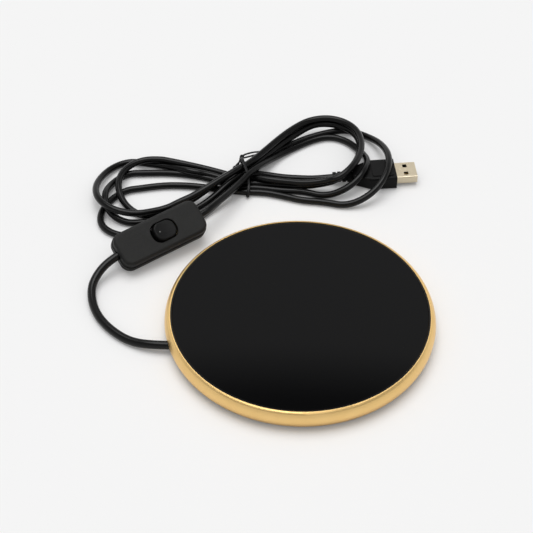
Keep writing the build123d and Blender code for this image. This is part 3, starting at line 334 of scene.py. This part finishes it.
def bend(side, centre, reach, half_width, tilt, egg, spread, heights):
    """One end of a turn, seen from above: an arc, from +spread to -spread degrees, of the oval
    x = reach cos(a) (1 + egg sin(a)), y = half_width sin(a), turned by tilt and set out on its side. The
    heights are spread evenly along it."""
    angle = np.radians(np.linspace(spread, -spread, BEND_POINTS))
    across = reach * np.cos(angle) * (1 + egg * np.sin(angle))
    along = half_width * np.sin(angle)
    turned = math.radians(tilt)
    x = centre[0] + side * (across * math.cos(turned) - along * math.sin(turned))
    y = centre[1] + across * math.sin(turned) + along * math.cos(turned)
    z = np.interp(np.linspace(0, 1, BEND_POINTS), np.linspace(0, 1, len(heights)), heights)
    return np.column_stack([x, y, z])


# Each turn: the strand to its right-hand bend, that bend, the strand back, and its left-hand bend.
turns = [
    (
        [
            (-54.07, 63.04, 11.45),
            (-48.5, 66.8, 11.9),
            (-43.8, 72.8, 11.6),
            (-39.2, 79.8, 10.7),
            (-34.6, 87.2, 9.4),
            (-30.4, 94.2, 8.6),
            (-26.0, 101.0, 8.9),
            (-20.4, 109.6, 7.2),
            (-13.0, 120.4, 3.2),
            (-3.5, 129.2, 1.8),
        ],
        bend(
            RIGHT,
            centre=(16.3, 115.7),
            reach=21.2,
            half_width=24.7,
            tilt=-5.8,
            egg=-0.14,
            spread=119,
            heights=[1.8, 1.8, 1.8, 2.6, 7.8, 10.0, 6.0, 1.8, 1.8],
        ),
        [
            (-8.5, 95.6, 1.8),
            (-20.0, 97.5, 1.8),
            (-30.5, 98.0, 1.8),
            (-38.0, 100.6, 1.8),
            (-46.0, 104.4, 1.8),
            (-54.0, 106.9, 1.8),
            (-62.0, 108.4, 1.8),
            (-71.0, 109.2, 1.8),
        ],
        bend(
            LEFT,
            centre=(-85.5, 89.4),
            reach=15.7,
            half_width=19.7,
            tilt=-1.9,
            egg=-0.10,
            spread=103,
            heights=[1.8, 1.8, 1.8, 5.0, 4.0, 1.8, 1.8],
        ),
    ),
    (
        [
            (-67.0, 73.0, 1.8),
            (-60.0, 76.2, 1.8),
            (-52.0, 81.8, 1.8),
            (-44.0, 89.2, 3.0),
            (-37.4, 96.4, 5.4),
            (-31.4, 102.8, 5.9),
            (-25.5, 107.9, 6.2),
            (-18.5, 118.0, 5.6),
            (-9.5, 129.2, 5.6),
            (-2.5, 136.0, 5.4),
        ],
        bend(
            RIGHT,
            centre=(15.4, 122.6),
            reach=18.5,
            half_width=24.7,
            tilt=4.4,
            egg=0.24,
            spread=105,
            heights=[5.4, 5.4, 5.4, 6.2, 6.9, 7.8, 8.7, 7.0, 4.5],
        ),
        [
            (3.0, 98.4, 2.6),
            (-8.0, 100.1, 1.8),
            (-19.0, 101.1, 1.8),
            (-30.0, 101.7, 1.8),
            (-39.0, 104.8, 1.8),
            (-48.0, 107.0, 3.0),
            (-56.0, 106.6, 5.2),
            (-63.0, 109.8, 4.0),
            (-70.0, 113.6, 2.4),
        ],
        bend(
            LEFT,
            centre=(-86.3, 94.9),
            reach=20.4,
            half_width=23.6,
            tilt=-7.3,
            egg=-0.14,
            spread=118,
            heights=[1.8, 1.8, 2.5, 6.0, 8.5, 7.0, 5.4],
        ),
    ),
    (
        [
            (-67.0, 78.2, 5.4),
            (-61.8, 82.2, 5.6),
            (-55.1, 85.7, 6.4),
            (-45.7, 92.2, 8.4),
            (-40.8, 96.1, 9.2),
            (-35.5, 100.2, 9.7),
            (-31.0, 104.5, 9.7),
            (-25.5, 108.8, 9.6),
            (-18.5, 118.2, 9.2),
            (-9.0, 131.0, 9.0),
            (-1.5, 139.2, 9.0),
        ],
        bend(
            RIGHT,
            centre=(16.1, 121.6),
            reach=18.4,
            half_width=26.2,
            tilt=5.6,
            egg=0.22,
            spread=109,
            heights=[9.0, 9.0, 9.0, 9.6, 10.3, 11.4, 12.3, 10.6, 8.0],
        ),
        [
            (3.0, 96.4, 6.4),
            (-8.0, 99.0, 5.4),
            (-17.0, 100.6, 5.4),
            (-24.0, 103.6, 4.0),
            (-32.0, 105.8, 1.9),
            (-42.0, 109.8, 2.0),
            (-51.0, 112.0, 3.0),
            (-59.4, 113.1, 4.4),
            (-68.8, 115.0, 5.2),
        ],
        bend(
            LEFT,
            centre=(-77.0, 95.6),
            reach=17.8,
            half_width=20.7,
            tilt=-0.1,
            egg=0.08,
            spread=101,
            heights=[5.4, 5.4, 5.4, 5.0, 3.0, 1.8, 1.8],
        ),
    ),
    (
        [
            (-66.0, 80.6, 1.8),
            (-57.0, 85.8, 2.4),
            (-48.0, 92.6, 5.0),
            (-41.0, 100.0, 5.8),
            (-35.6, 105.2, 5.6),
            (-31.2, 108.6, 4.4),
            (-25.8, 111.6, 2.8),
            (-17.0, 121.2, 2.2),
            (-9.0, 129.9, 1.9),
            (-2.0, 134.2, 1.8),
            (5.0, 138.6, 1.8),
        ],
        bend(
            RIGHT,
            centre=(24.9, 115.2),
            reach=24.0,
            half_width=31.2,
            tilt=-1.6,
            egg=-0.10,
            spread=115,
            heights=[1.8, 1.8, 1.8, 6.0, 10.0, 10.0, 6.0, 1.8, 1.8],
        ),
        [
            (2.0, 88.2, 1.8),
            (-8.0, 91.6, 1.8),
            (-17.5, 94.2, 1.8),
            (-27.5, 94.4, 1.8),
            (-38.0, 95.6, 1.8),
            (-48.5, 97.8, 1.8),
            (-59.0, 99.2, 1.8),
            (-71.0, 99.2, 1.8),
        ],
        bend(
            LEFT,
            centre=(-85.2, 78.1),
            reach=17.0,
            half_width=18.3,
            tilt=-0.1,
            egg=-0.25,
            spread=93,
            heights=[1.8, 1.8],
        ),
    ),
]
last_strand = [
    (-70.0, 61.5, 1.8),
    (-60.0, 66.6, 1.8),
    (-52.0, 73.6, 1.8),
    (-45.4, 80.6, 2.4),
    (-39.8, 86.8, 4.2),
    (-35.0, 92.2, 5.4),
    (-31.0, 97.4, 5.5),
    (-27.6, 102.4, 5.4),
    (-23.0, 106.0, 4.6),
    (-16.0, 106.6, 3.0),
    (-8.0, 106.0, 2.0),
    (0.0, 105.4, 2.0),
    (7.4, 104.4, 2.6),
    (12.9, 104.0, 3.5),
    (18.38, 104.43, 3.9),
    (31.21, 105.78, 3.9),
]
stretches = [np.array(stretch) for turn in turns for stretch in turn]
usb_route = np.concatenate(stretches + [np.array(last_strand)])
usb_cord = cord_curve("usb_cord_jacket", usb_route, USB_CORD_DIAMETER, cord_pvc)
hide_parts("hank_lead", "cord_hank", "hank_tail")
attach(usb_cord, BODY)

# ---- Twist tie round the hank ------------------------------------------------------------------
# A steel wire in a flat black plastic strip, 1.5 mm wide. It goes once round all the strands and is twisted
# three turns behind them. Its spare length lies back there as a narrow loop, and its cut end lies over the
# strands.

TIE_WIDTH = 1.5 * MM
TIE_THICKNESS = 0.7 * MM
SPARE_WIDTH = 1.3 * MM        # where the strip is drawn narrow, in the twist and the loop
LOOP_THICKNESS = 0.55 * MM
TIE_BLACK = screen(9, 9, 10)
TIE_WORN = screen(22, 22, 23)
TIE_SHINE = 0.22
VINYL_GRAIN = 0.5 * MM
VINYL_DEPTH = 0.03 * MM
SECTION_POINTS = 16           # round the strip
SQUARENESS = 0.5              # of its section; 1 is an ellipse, and towards 0 it becomes a box
TWISTS = 3.0
TWIST_RADIUS = 0.75 * MM
TWIST_SLANT = 0.7             # share of the twist's circle that goes into Y, and into Z
TWIST_LEAN = 0.3              # how far the strip's flat side tips up in the twist
TWIST_SAMPLES = 60
END_TURNS = 1.25              # of the strip about its own line, along the cut end


def smooth_line(points, count):
    """Points in metres on a smooth curve through points in millimetres: a cubic between each pair, whose
    slope at a point is half the step from the one before it to the one after."""
    corner = np.array(points, float) * MM
    slope = np.gradient(corner, axis=0)
    place = np.linspace(0, len(corner) - 1, count)
    first = np.minimum(place.astype(int), len(corner) - 2)
    share = (place - first)[:, None]
    start = corner[first] * (1 + 2 * share) * (1 - share) ** 2 + slope[first] * share * (1 - share) ** 2
    end = corner[first + 1] * share ** 2 * (3 - 2 * share) - slope[first + 1] * share ** 2 * (1 - share)
    return start + end


def strip(name, line, face, width, thickness, taper=0):
    """A strip of rounded section carried along a line: a point is the line, plus half the width times c(a)
    to its side, plus half the thickness times s(a) outwards. c and s are the cosine and the sine, with their
    signs, to the power SQUARENESS. face is the way that the flat side looks. Each end closes over taper
    rings, as a square root."""
    step = np.gradient(line, axis=0)
    step /= np.linalg.norm(step, axis=1)[:, None]
    side = np.cross(step, face)
    side /= np.linalg.norm(side, axis=1)[:, None]
    out = np.cross(side, step)
    angle = np.linspace(0, 2 * np.pi, SECTION_POINTS, endpoint=False)
    flat_x = np.sign(np.cos(angle)) * np.abs(np.cos(angle)) ** SQUARENESS
    flat_y = np.sign(np.sin(angle)) * np.abs(np.sin(angle)) ** SQUARENESS
    size = np.ones(len(line))
    if taper:
        size[:taper] = size[-taper:][::-1] = np.sqrt(np.linspace(0, 1, taper))
    rows = (
        line[:, None]
        + side[:, None] * (flat_x * width / 2)[None, :, None] * size[:, None, None]
        + out[:, None] * (flat_y * thickness / 2)[None, :, None] * size[:, None, None]
    )
    return mesh_piece(name, rows)


vinyl = Finish("tie_vinyl")
tie_vinyl = vinyl.done(
    Base_Color=vinyl.mix(vinyl.noise(2 * MM), TIE_BLACK, TIE_WORN),
    Roughness=vinyl.uneven(0.3, swing=0.2, patch=1.5 * MM),
    Specular_IOR_Level=TIE_SHINE,
    Normal=vinyl.bump(vinyl.noise(VINYL_GRAIN), VINYL_DEPTH),
)

strap_route = [
    (-30.1, 114.6, 7.2),
    (-29.9, 112.4, 9.8),
    (-29.6, 109.3, 12.1),
    (-28.7, 105.6, 12.2),
    (-26.9, 100.8, 9.7),
    (-26.0, 95.8, 5.9),
    (-26.1, 92.4, 4.3),
    (-26.3, 91.0, 2.4),
    (-26.6, 92.0, 0.7),
    (-26.9, 95.0, 0.5),
    (-27.8, 100.0, 0.5),
    (-28.7, 106.0, 0.5),
    (-29.3, 110.6, 0.6),
    (-29.7, 113.4, 2.0),
    (-30.0, 114.6, 4.4),
    (-30.1, 114.6, 7.2),
]
strap_line = smooth_line(strap_route, count=120)
strap_middle = np.array([-28.0, 102.0, 5.0]) * MM
outward = (strap_line - strap_middle) * np.array([0, 1, 1])
tie_strap = strip("tie_strap", strap_line, outward, TIE_WIDTH, TIE_THICKNESS)

# The twist: two ends on opposite sides of a slanting circle that moves from the foot to the head.
twist_foot = np.array([-30.3, 113.6, 7.2]) * MM
twist_head = np.array([-29.7, 116.2, 8.4]) * MM
up_twist = np.linspace(0, 1, TWIST_SAMPLES)
twist_angle = 2 * np.pi * TWISTS * up_twist
across_twist = np.cos(twist_angle)
round_twist = np.sin(twist_angle)
core = twist_foot + up_twist[:, None] * (twist_head - twist_foot)
circle = np.column_stack([across_twist, round_twist * TWIST_SLANT, -round_twist * TWIST_SLANT])
facing = np.column_stack([across_twist, round_twist, np.full(TWIST_SAMPLES, TWIST_LEAN)])
twist_a = strip("tie_twist_a", core + circle * TWIST_RADIUS, facing, SPARE_WIDTH, TIE_THICKNESS, taper=6)
twist_b = strip("tie_twist_b", core - circle * TWIST_RADIUS, facing, SPARE_WIDTH, TIE_THICKNESS, taper=6)

loop_route = [
    (-29.8, 115.8, 8.2),
    (-28.2, 117.6, 7.9),
    (-25.1, 119.4, 7.6),
    (-21.9, 120.5, 7.3),
    (-19.4, 121.2, 6.9),
    (-19.2, 121.2, 6.3),
    (-20.2, 120.6, 5.9),
    (-23.0, 119.5, 5.9),
    (-26.2, 118.0, 6.1),
    (-28.4, 116.3, 6.8),
    (-29.8, 115.2, 7.4),
]
loop_line = smooth_line(loop_route, count=70)
loop_face = np.array([0.0, 0.25, 1.0])
tie_loop = strip("tie_loop", loop_line, loop_face, SPARE_WIDTH, LOOP_THICKNESS, taper=5)

end_route = [
    (-30.3, 113.4, 8.0),
    (-30.9, 111.0, 8.6),
    (-31.9, 108.6, 8.8),
    (-33.1, 106.7, 8.9),
    (-34.4, 105.2, 8.9),
]
end_line = smooth_line(end_route, count=50)
end_turn = np.linspace(0, END_TURNS * 2 * np.pi, len(end_line))
end_face = np.column_stack([np.cos(end_turn), np.zeros(len(end_line)), np.sin(end_turn)])
tie_end = strip("tie_end", end_line, end_face, TIE_WIDTH, TIE_THICKNESS, taper=5)

tie_pieces = [tie_strap, twist_a, twist_b, tie_loop, tie_end]
for piece in tie_pieces:
    piece.data.materials.append(tie_vinyl)
    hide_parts("twist_tie")
    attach(piece, BODY)

# ---- Glass top ---------------------------------------------------------------------------------
# A disc of black tempered glass that the mug stands on, ground at its edge. It is polished, with a little
# dust and the faint wipe marks of a cloth.

GLASS_BLACK = screen(9, 9, 10)
GLASS_DUST = screen(60, 60, 60)
GLASS_IOR = 1.52
GLASS_SHINE = 0.2
POLISH = 0.03                 # roughness of the clean glass
WIPE_WIDTH = 30 * MM
WIPE_HAZE = 0.03              # roughness that a wipe mark adds
SPECK_SIZE = 1.1 * MM
SPECK_FADE = 14.0             # the power that leaves only the peaks of the noise as specks
WAVE_LENGTH = 60 * MM         # of the glass's face, which tempering leaves not quite flat
WAVE_DEPTH = 0.01 * MM

glass = Finish("black_glass")
wipes = glass.noise(WIPE_WIDTH, detail=3.0, stretch=(1.0, 3.0, 1.0))
specks = glass.noise(SPECK_SIZE, detail=1.0) ** SPECK_FADE
black_glass = glass.done(
    Base_Color=glass.mix(specks, GLASS_BLACK, GLASS_DUST),
    Roughness=wipes * WIPE_HAZE + POLISH,
    Normal=glass.bump(glass.noise(WAVE_LENGTH), WAVE_DEPTH),
    IOR=GLASS_IOR,
    Specular_IOR_Level=GLASS_SHINE,
)
dress(black_glass, "glass_top")

# ---- Silicone bead -----------------------------------------------------------------------------
# Black silicone that seats the glass in the ring. It was laid wet into the ledge and wiped off level, so it
# is smooth and slightly wavy.

MOTTLE = 14                   # size of a moulded plastic's colour patches, in grains
GRAIN_ROUGHNESS = 0.12        # what its grain adds to the roughness


def moulded(name, dark, light, roughness, grain, depth, shine=0.28):
    """The finish of a moulded plastic or rubber: mottled between two colours, with a fine grain on it."""
    skin = Finish(name)
    texture = skin.noise(grain, detail=3.0)
    return skin.done(
        Base_Color=skin.mix(skin.noise(MOTTLE * grain, detail=4.0), dark, light),
        Roughness=texture * GRAIN_ROUGHNESS + roughness,
        Normal=skin.bump(texture, depth),
        Specular_IOR_Level=shine,
    )


silicone = moulded(
    "silicone",
    dark=screen(10, 9, 9),
    light=screen(18, 17, 16),
    roughness=0.5,
    grain=1.2 * MM,
    depth=0.05 * MM,
)
dress(silicone, "glass_bond")

# ---- Gold ring ---------------------------------------------------------------------------------
# Turned aluminium, gold anodised with a satin face. Fine turning lines run round it, and the anodising is a
# shade uneven. It holds the glass on an inner ledge.

RING_TURNING = 0.09 * MM      # pitch of the turning lines on the upright wall
FACE_FEED = 1.7               # lines on the flat top, to one on the wall
TURNING_DEPTH = 0.004 * MM
BLAST_GRAIN = 0.25 * MM       # of the satin blasting over the lines
BLAST_SHARE = 0.6
SATIN = 0.27                  # roughness between the lines
SATIN_SWING = 0.1
SATIN_PATCH = 0.6 * MM
LINE_ROUGHNESS = 0.08         # what a line adds to it
SHADE_PATCH = 12 * MM
GOLD = (0.80, 0.53, 0.205, 1.0)
GOLD_PALE = (0.88, 0.61, 0.26, 1.0)


def radius(finish):
    """Distance from the plate's upright axis: the length of the place with its Z made nought."""
    level = (1.0, 1.0, 0.0)
    flat = finish.add("ShaderNodeVectorMath", {"operation": "MULTIPLY"}, {0: finish.place, 1: level})
    return finish.add("ShaderNodeVectorMath", {"operation": "LENGTH"}, {0: flat}, "Value")


gold = Finish("gold_anodising")
turning = {"W": radius(gold) * FACE_FEED + gold.axis("Z"), "Scale": 1 / RING_TURNING}
lines = gold.add("ShaderNodeTexNoise", {"noise_dimensions": "1D"}, turning)
gold_anodising = gold.done(
    Base_Color=gold.mix(gold.noise(SHADE_PATCH, detail=4.0), GOLD, GOLD_PALE),
    Metallic=1.0,
    Roughness=gold.noise(SATIN_PATCH) * SATIN_SWING + lines * LINE_ROUGHNESS + SATIN,
    Normal=gold.bump(lines + gold.noise(BLAST_GRAIN) * BLAST_SHARE, TURNING_DEPTH),
)
dress(gold_anodising, "rim_ring")

# ---- Heat spreader -----------------------------------------------------------------------------
# A disc cut from rolled aluminium sheet and bonded under the glass. It evens out the film's heat, and the
# grain of the rolling runs along X.

ALUMINIUM = (0.66, 0.67, 0.68, 1.0)
ALUMINIUM_PALE = (0.8, 0.8, 0.81, 1.0)
ROLLING_WIDTH = 0.5 * MM
ROLLING_DEPTH = 0.01 * MM
MILL_FINISH = 0.3             # roughness of the rolled face
ROLLING_ROUGHNESS = 0.2       # what the rolling grain adds to it

sheet = Finish("rolled_aluminium")
rolling = sheet.noise(ROLLING_WIDTH, stretch=(0.04, 1.0, 1.0))
rolled_aluminium = sheet.done(
    Base_Color=sheet.mix(rolling, ALUMINIUM, ALUMINIUM_PALE),
    Metallic=1.0,
    Roughness=rolling * ROLLING_ROUGHNESS + MILL_FINISH,
    Normal=sheet.bump(rolling, ROLLING_DEPTH),
)
dress(rolled_aluminium, "heat_spreader")

# ---- Heating film ------------------------------------------------------------------------------
# Amber polyimide with an etched metal track inside, glued to the spreader. The track runs in rings and
# shows through the film.

TRACK_PITCH = 4.0 * MM
TRACK_EDGE = (0.45, 0.5)      # where a ring of the track starts, as shares of half the pitch
POLYIMIDE = (0.5, 0.22, 0.03, 1.0)
TRACK_METAL = (0.42, 0.36, 0.28, 1.0)

film = Finish("polyimide_film")
from_gap = film.add("ShaderNodeMath", {"operation": "PINGPONG"}, {0: radius(film), 1: TRACK_PITCH / 2})
track = film.ramp(from_gap * (2 / TRACK_PITCH), [(TRACK_EDGE[0], 0.0), (TRACK_EDGE[1], 1.0)])
polyimide_film = film.done(
    Base_Color=film.mix(track, POLYIMIDE, TRACK_METAL),
    Roughness=film.uneven(0.25, swing=0.1, patch=2 * MM),
    Coat_Weight=0.6,
)
dress(polyimide_film, "heating_film")

# ---- Insulation pad ----------------------------------------------------------------------------
# Pressed ceramic fibre between the film and the base, with a window for the thermostat and the fuse. The
# fibres lie flat and crossed, so the face is softly uneven.

FIBRE_WIDTH = 0.4 * MM
FIBRE_DRAWN = 0.15            # width of a fibre to its length
FIBRE_DEPTH = 0.15 * MM
PAD_SHADE = screen(188, 184, 174)
PAD_WHITE = screen(244, 242, 234)

fibre = Finish("ceramic_fibre")
lying = fibre.noise(FIBRE_WIDTH, detail=4.0, stretch=(1.0, FIBRE_DRAWN, 1.0))
crossing = fibre.noise(FIBRE_WIDTH, detail=4.0, stretch=(FIBRE_DRAWN, 1.0, 1.0))
felt = (lying + crossing) * 0.5
ceramic_fibre = fibre.done(
    Base_Color=fibre.mix(felt, PAD_SHADE, PAD_WHITE),
    Roughness=fibre.uneven(0.85, swing=0.1, patch=3 * MM),
    Normal=fibre.bump(felt, FIBRE_DEPTH),
)
dress(ceramic_fibre, "insulation_pad")

# ---- Thermostat --------------------------------------------------------------------------------
# A flat bimetal cut-out in a case of brown phenolic resin, pressed in a mould. It is glued to the film in
# the pad's window.

phenolic = moulded(
    "phenolic",
    dark=screen(58, 40, 28),
    light=screen(78, 54, 38),
    roughness=0.4,
    grain=0.3 * MM,
    depth=0.02 * MM,
    shine=0.45,
)
dress(phenolic, "thermostat")

# ---- Thermal fuse ------------------------------------------------------------------------------
# A cream ceramic barrel, 9 mm long, with a tinned lead out of each end. It melts once and for all if the
# thermostat fails, and lies beside it in the pad's window.

BARREL_HALF = 4.5 * MM
CERAMIC_CREAM = screen(214, 204, 178)
TIN = (0.66, 0.66, 0.67, 1.0)

fuse = Finish("fuse_barrel")
from_middle = fuse.add("ShaderNodeMath", {"operation": "ABSOLUTE"}, {0: fuse.axis("X")})
on_lead = fuse.add("ShaderNodeMath", {"operation": "GREATER_THAN"}, {0: from_middle, 1: BARREL_HALF})
fuse_finish = fuse.done(
    Base_Color=fuse.mix(on_lead, CERAMIC_CREAM, TIN),
    Metallic=on_lead,
    Roughness=fuse.uneven(0.3, swing=0.15, patch=0.8 * MM),
)
dress(fuse_finish, "thermal_fuse")

# ---- Wires -------------------------------------------------------------------------------------
# Stranded copper wires in PVC: red for the switched side, in the plate and in the switch, white for the
# return. They are laid loose and soldered at their ends.

WIRE_SKIN = {"roughness": 0.38, "grain": 0.3 * MM, "depth": 0.01 * MM, "shine": 0.5}

red_wire = moulded("red_wire", screen(150, 22, 18), screen(176, 34, 26), **WIRE_SKIN)
white_wire = moulded("white_wire", screen(212, 211, 206), screen(230, 229, 224), **WIRE_SKIN)
dress(red_wire, "lead_live", "fuse_link", "switch_wire_in", "switch_wire_out")
dress(white_wire, "lead_return", "switch_wire_through")

# ---- Base pan ----------------------------------------------------------------------------------
# A tray of black heat-proof plastic that closes the plate from below. It is moulded with a fine grain, and
# screwed to the ring.

base_plastic = moulded(
    "base_plastic",
    dark=screen(26, 26, 27),
    light=screen(34, 34, 35),
    roughness=0.55,
    grain=0.25 * MM,
    depth=0.03 * MM,
)
dress(base_plastic, "base_pan")

# ---- Screws ------------------------------------------------------------------------------------
# Self-tapping screws of zinc-plated steel, with cross recesses. Four hold the base to the ring, and two
# small ones hold the switch's shells together.

TARNISH = 8                   # size of a metal's patches of colour, in grains
LAY_ROUGHNESS = 0.15          # what its grain adds to the roughness
LAY_DEPTH = 0.005 * MM


def metal(name, dark, light, roughness, grain, stretch=(1.0, 1.0, 1.0)):
    """The finish of bare or plated metal: between two colours, and rougher where its grain stands high."""
    face = Finish(name)
    lay = face.noise(grain, detail=3.0, stretch=stretch)
    return face.done(
        Base_Color=face.mix(face.noise(TARNISH * grain, detail=3.0), dark, light),
        Metallic=1.0,
        Roughness=lay * LAY_ROUGHNESS + roughness,
        Normal=face.bump(lay, LAY_DEPTH),
    )


screw_steel = metal(
    "screw_steel",
    dark=(0.5, 0.5, 0.52, 1.0),
    light=(0.62, 0.62, 0.63, 1.0),
    roughness=0.3,
    grain=0.2 * MM,
)
dress(screw_steel, "base_screws", "case_screws")

# ---- Rubber feet -------------------------------------------------------------------------------
# Four round feet of black rubber, pressed into pockets of the base. They are matt, and slightly mottled
# from the mould.

foot_rubber = moulded(
    "foot_rubber",
    dark=screen(30, 30, 30),
    light=screen(40, 40, 40),
    roughness=0.7,
    grain=0.5 * MM,
    depth=0.05 * MM,
    shine=0.2,
)
dress(foot_rubber, "rubber_feet")

# ---- Cord bushing ------------------------------------------------------------------------------
# Soft black PVC, moulded on the front cord where it enters the plate. It sits in a slot of the ring's wall,
# and a flange behind the wall takes the pull.

bushing = moulded(
    "bushing",
    dark=screen(20, 20, 20),
    light=screen(28, 28, 28),
    roughness=0.5,
    grain=0.4 * MM,
    depth=0.02 * MM,
)
dress(bushing, "cord_grommet")

# ---- Switch shells -----------------------------------------------------------------------------
# Two black ABS shells, screwed together from below. Their mould was spark-eroded, so they have an even,
# fine grain that catches a little light. Their colour follows the grain's height: darker in its pits as
# painted shade, and lighter on its peaks as a painted highlight.

SHELL_GRAIN = 0.28 * MM
SHELL_GRAIN_DEPTH = 0.06 * MM
# Painted shade in the grain's pits and a painted highlight on its peaks, mixed by the grain's height.
SHELL_PIT_SHADE = screen(2, 2, 2)
SHELL_PEAK_HIGHLIGHT = screen(46, 46, 45)
SHELL_SHINE = 0.18

case_skin = Finish("switch_plastic")
# The grain's height gives the bump and also paints the colour: shade in the pits, a highlight on the peaks.
grain_and_painted_shade = case_skin.noise(SHELL_GRAIN, detail=3.0)
switch_plastic = case_skin.done(
    Base_Color=case_skin.mix(grain_and_painted_shade, SHELL_PIT_SHADE, SHELL_PEAK_HIGHLIGHT),
    Roughness=case_skin.uneven(0.5, swing=0.1, patch=6 * MM),
    Normal=case_skin.bump(grain_and_painted_shade, SHELL_GRAIN_DEPTH),
    Specular_IOR_Level=SHELL_SHINE,
)
dress(switch_plastic, "switch_upper_case", "switch_lower_case")

# ---- Rocker ------------------------------------------------------------------------------------
# A moulded ABS button that tips on two pivot stubs in the upper shell. It is smoother than the shells and a
# shade darker, with painted shade in its grain's pits and a painted highlight on its peaks. A small raised
# pip near the end that is up carries a pale grey spot, a painted glint.

PIP_PLACE = (-69.58 * MM, 49.37 * MM, 15.47 * MM)
PIP_RADIUS = 0.35 * MM
# A pale grey spot on the raised pip: a painted glint.
PIP_GLINT_GREY = screen(120, 120, 118)
BUTTON_GRAIN = 0.3 * MM
BUTTON_GRAIN_DEPTH = 0.02 * MM
# Painted shade in the grain's pits and a painted highlight on its peaks, mixed by the grain's height.
BUTTON_PIT_SHADE = screen(8, 8, 8)
BUTTON_PEAK_HIGHLIGHT = screen(24, 24, 24)
BUTTON_SHINE = 0.15

button = Finish("button_plastic")
from_pip = button.add("ShaderNodeVectorMath", {"operation": "SUBTRACT"}, {0: button.place, 1: PIP_PLACE})
pip_distance = button.add("ShaderNodeVectorMath", {"operation": "LENGTH"}, {0: from_pip}, "Value")
glint_spot = button.add("ShaderNodeMath", {"operation": "LESS_THAN"}, {0: pip_distance, 1: PIP_RADIUS})
button_grain_and_shade = button.noise(BUTTON_GRAIN, detail=3.0)
# The button's black with painted shade in the grain's pits and a painted highlight on its peaks.
button_black_shaded = button.mix(button_grain_and_shade, BUTTON_PIT_SHADE, BUTTON_PEAK_HIGHLIGHT)
button_plastic = button.done(
    Base_Color=button.mix(glint_spot, button_black_shaded, PIP_GLINT_GREY),
    Roughness=button.uneven(0.42, swing=0.1, patch=3 * MM),
    Normal=button.bump(button_grain_and_shade, BUTTON_GRAIN_DEPTH),
    Specular_IOR_Level=BUTTON_SHINE,
)
dress(button_plastic, "rocker_button")

# ---- Plunger and spring ------------------------------------------------------------------------
# A turned steel plunger in the rocker's bore, and the compression spring of drawn wire behind it, which
# presses it down on the tilting contact.

spring_steel = metal(
    "spring_steel",
    dark=(0.46, 0.46, 0.48, 1.0),
    light=(0.6, 0.6, 0.61, 1.0),
    roughness=0.2,
    grain=0.1 * MM,
)
dress(spring_steel, "rocker_plunger", "plunger_spring")

# ---- Contacts ----------------------------------------------------------------------------------
# Stamped from rolled brass: the blade that tips under the plunger, the terminal that carries it, and the
# fixed strip that it meets. The two fixed pieces sit in the lower shell.

contact_brass = metal(
    "contact_brass",
    dark=(0.6, 0.42, 0.15, 1.0),
    light=(0.74, 0.54, 0.24, 1.0),
    roughness=0.28,
    grain=0.2 * MM,
    stretch=(0.1, 1.0, 1.0),
)
dress(contact_brass, "seesaw_contact", "centre_terminal", "fixed_contact")

# ---- Plug --------------------------------------------------------------------------------------
# Black PVC, moulded over the shell and the cord in one shot. It makes a satin grip and a ribbed boot that
# bends with the cord.

plug_plastic = moulded(
    "plug_plastic",
    dark=screen(7, 7, 7),
    light=screen(15, 15, 15),
    roughness=0.42,
    grain=0.3 * MM,
    depth=0.02 * MM,
    shine=0.12,
)
dress(plug_plastic, "plug_body", "plug_strain_relief")

# ---- Plug shell --------------------------------------------------------------------------------
# Sheet steel, folded to a box and plated with bright nickel. The plating is warm in tone, with fine rolling
# lines along the plug.

plug_shell = metal(
    "plug_shell",
    dark=(0.56, 0.49, 0.36, 1.0),
    light=(0.64, 0.56, 0.42, 1.0),
    roughness=0.32,
    grain=0.15 * MM,
    stretch=(0.1, 1.0, 1.0),
)
dress(plug_shell, "usb_shell")

# ---- Plug tongue and contacts ------------------------------------------------------------------
# A black moulded insulator in the shell, with four contacts let into its upper face. The contacts are
# stamped from sheet brass and plated with gold.

tongue_black = moulded(
    "tongue_black",
    dark=screen(22, 22, 22),
    light=screen(30, 30, 30),
    roughness=0.45,
    grain=0.3 * MM,
    depth=0.02 * MM,
)
contact_gold = metal(
    "contact_gold",
    dark=(0.78, 0.54, 0.2, 1.0),
    light=(0.9, 0.66, 0.3, 1.0),
    roughness=0.2,
    grain=0.1 * MM,
)
dress(tongue_black, "usb_tongue")
dress(contact_gold, "usb_contacts")
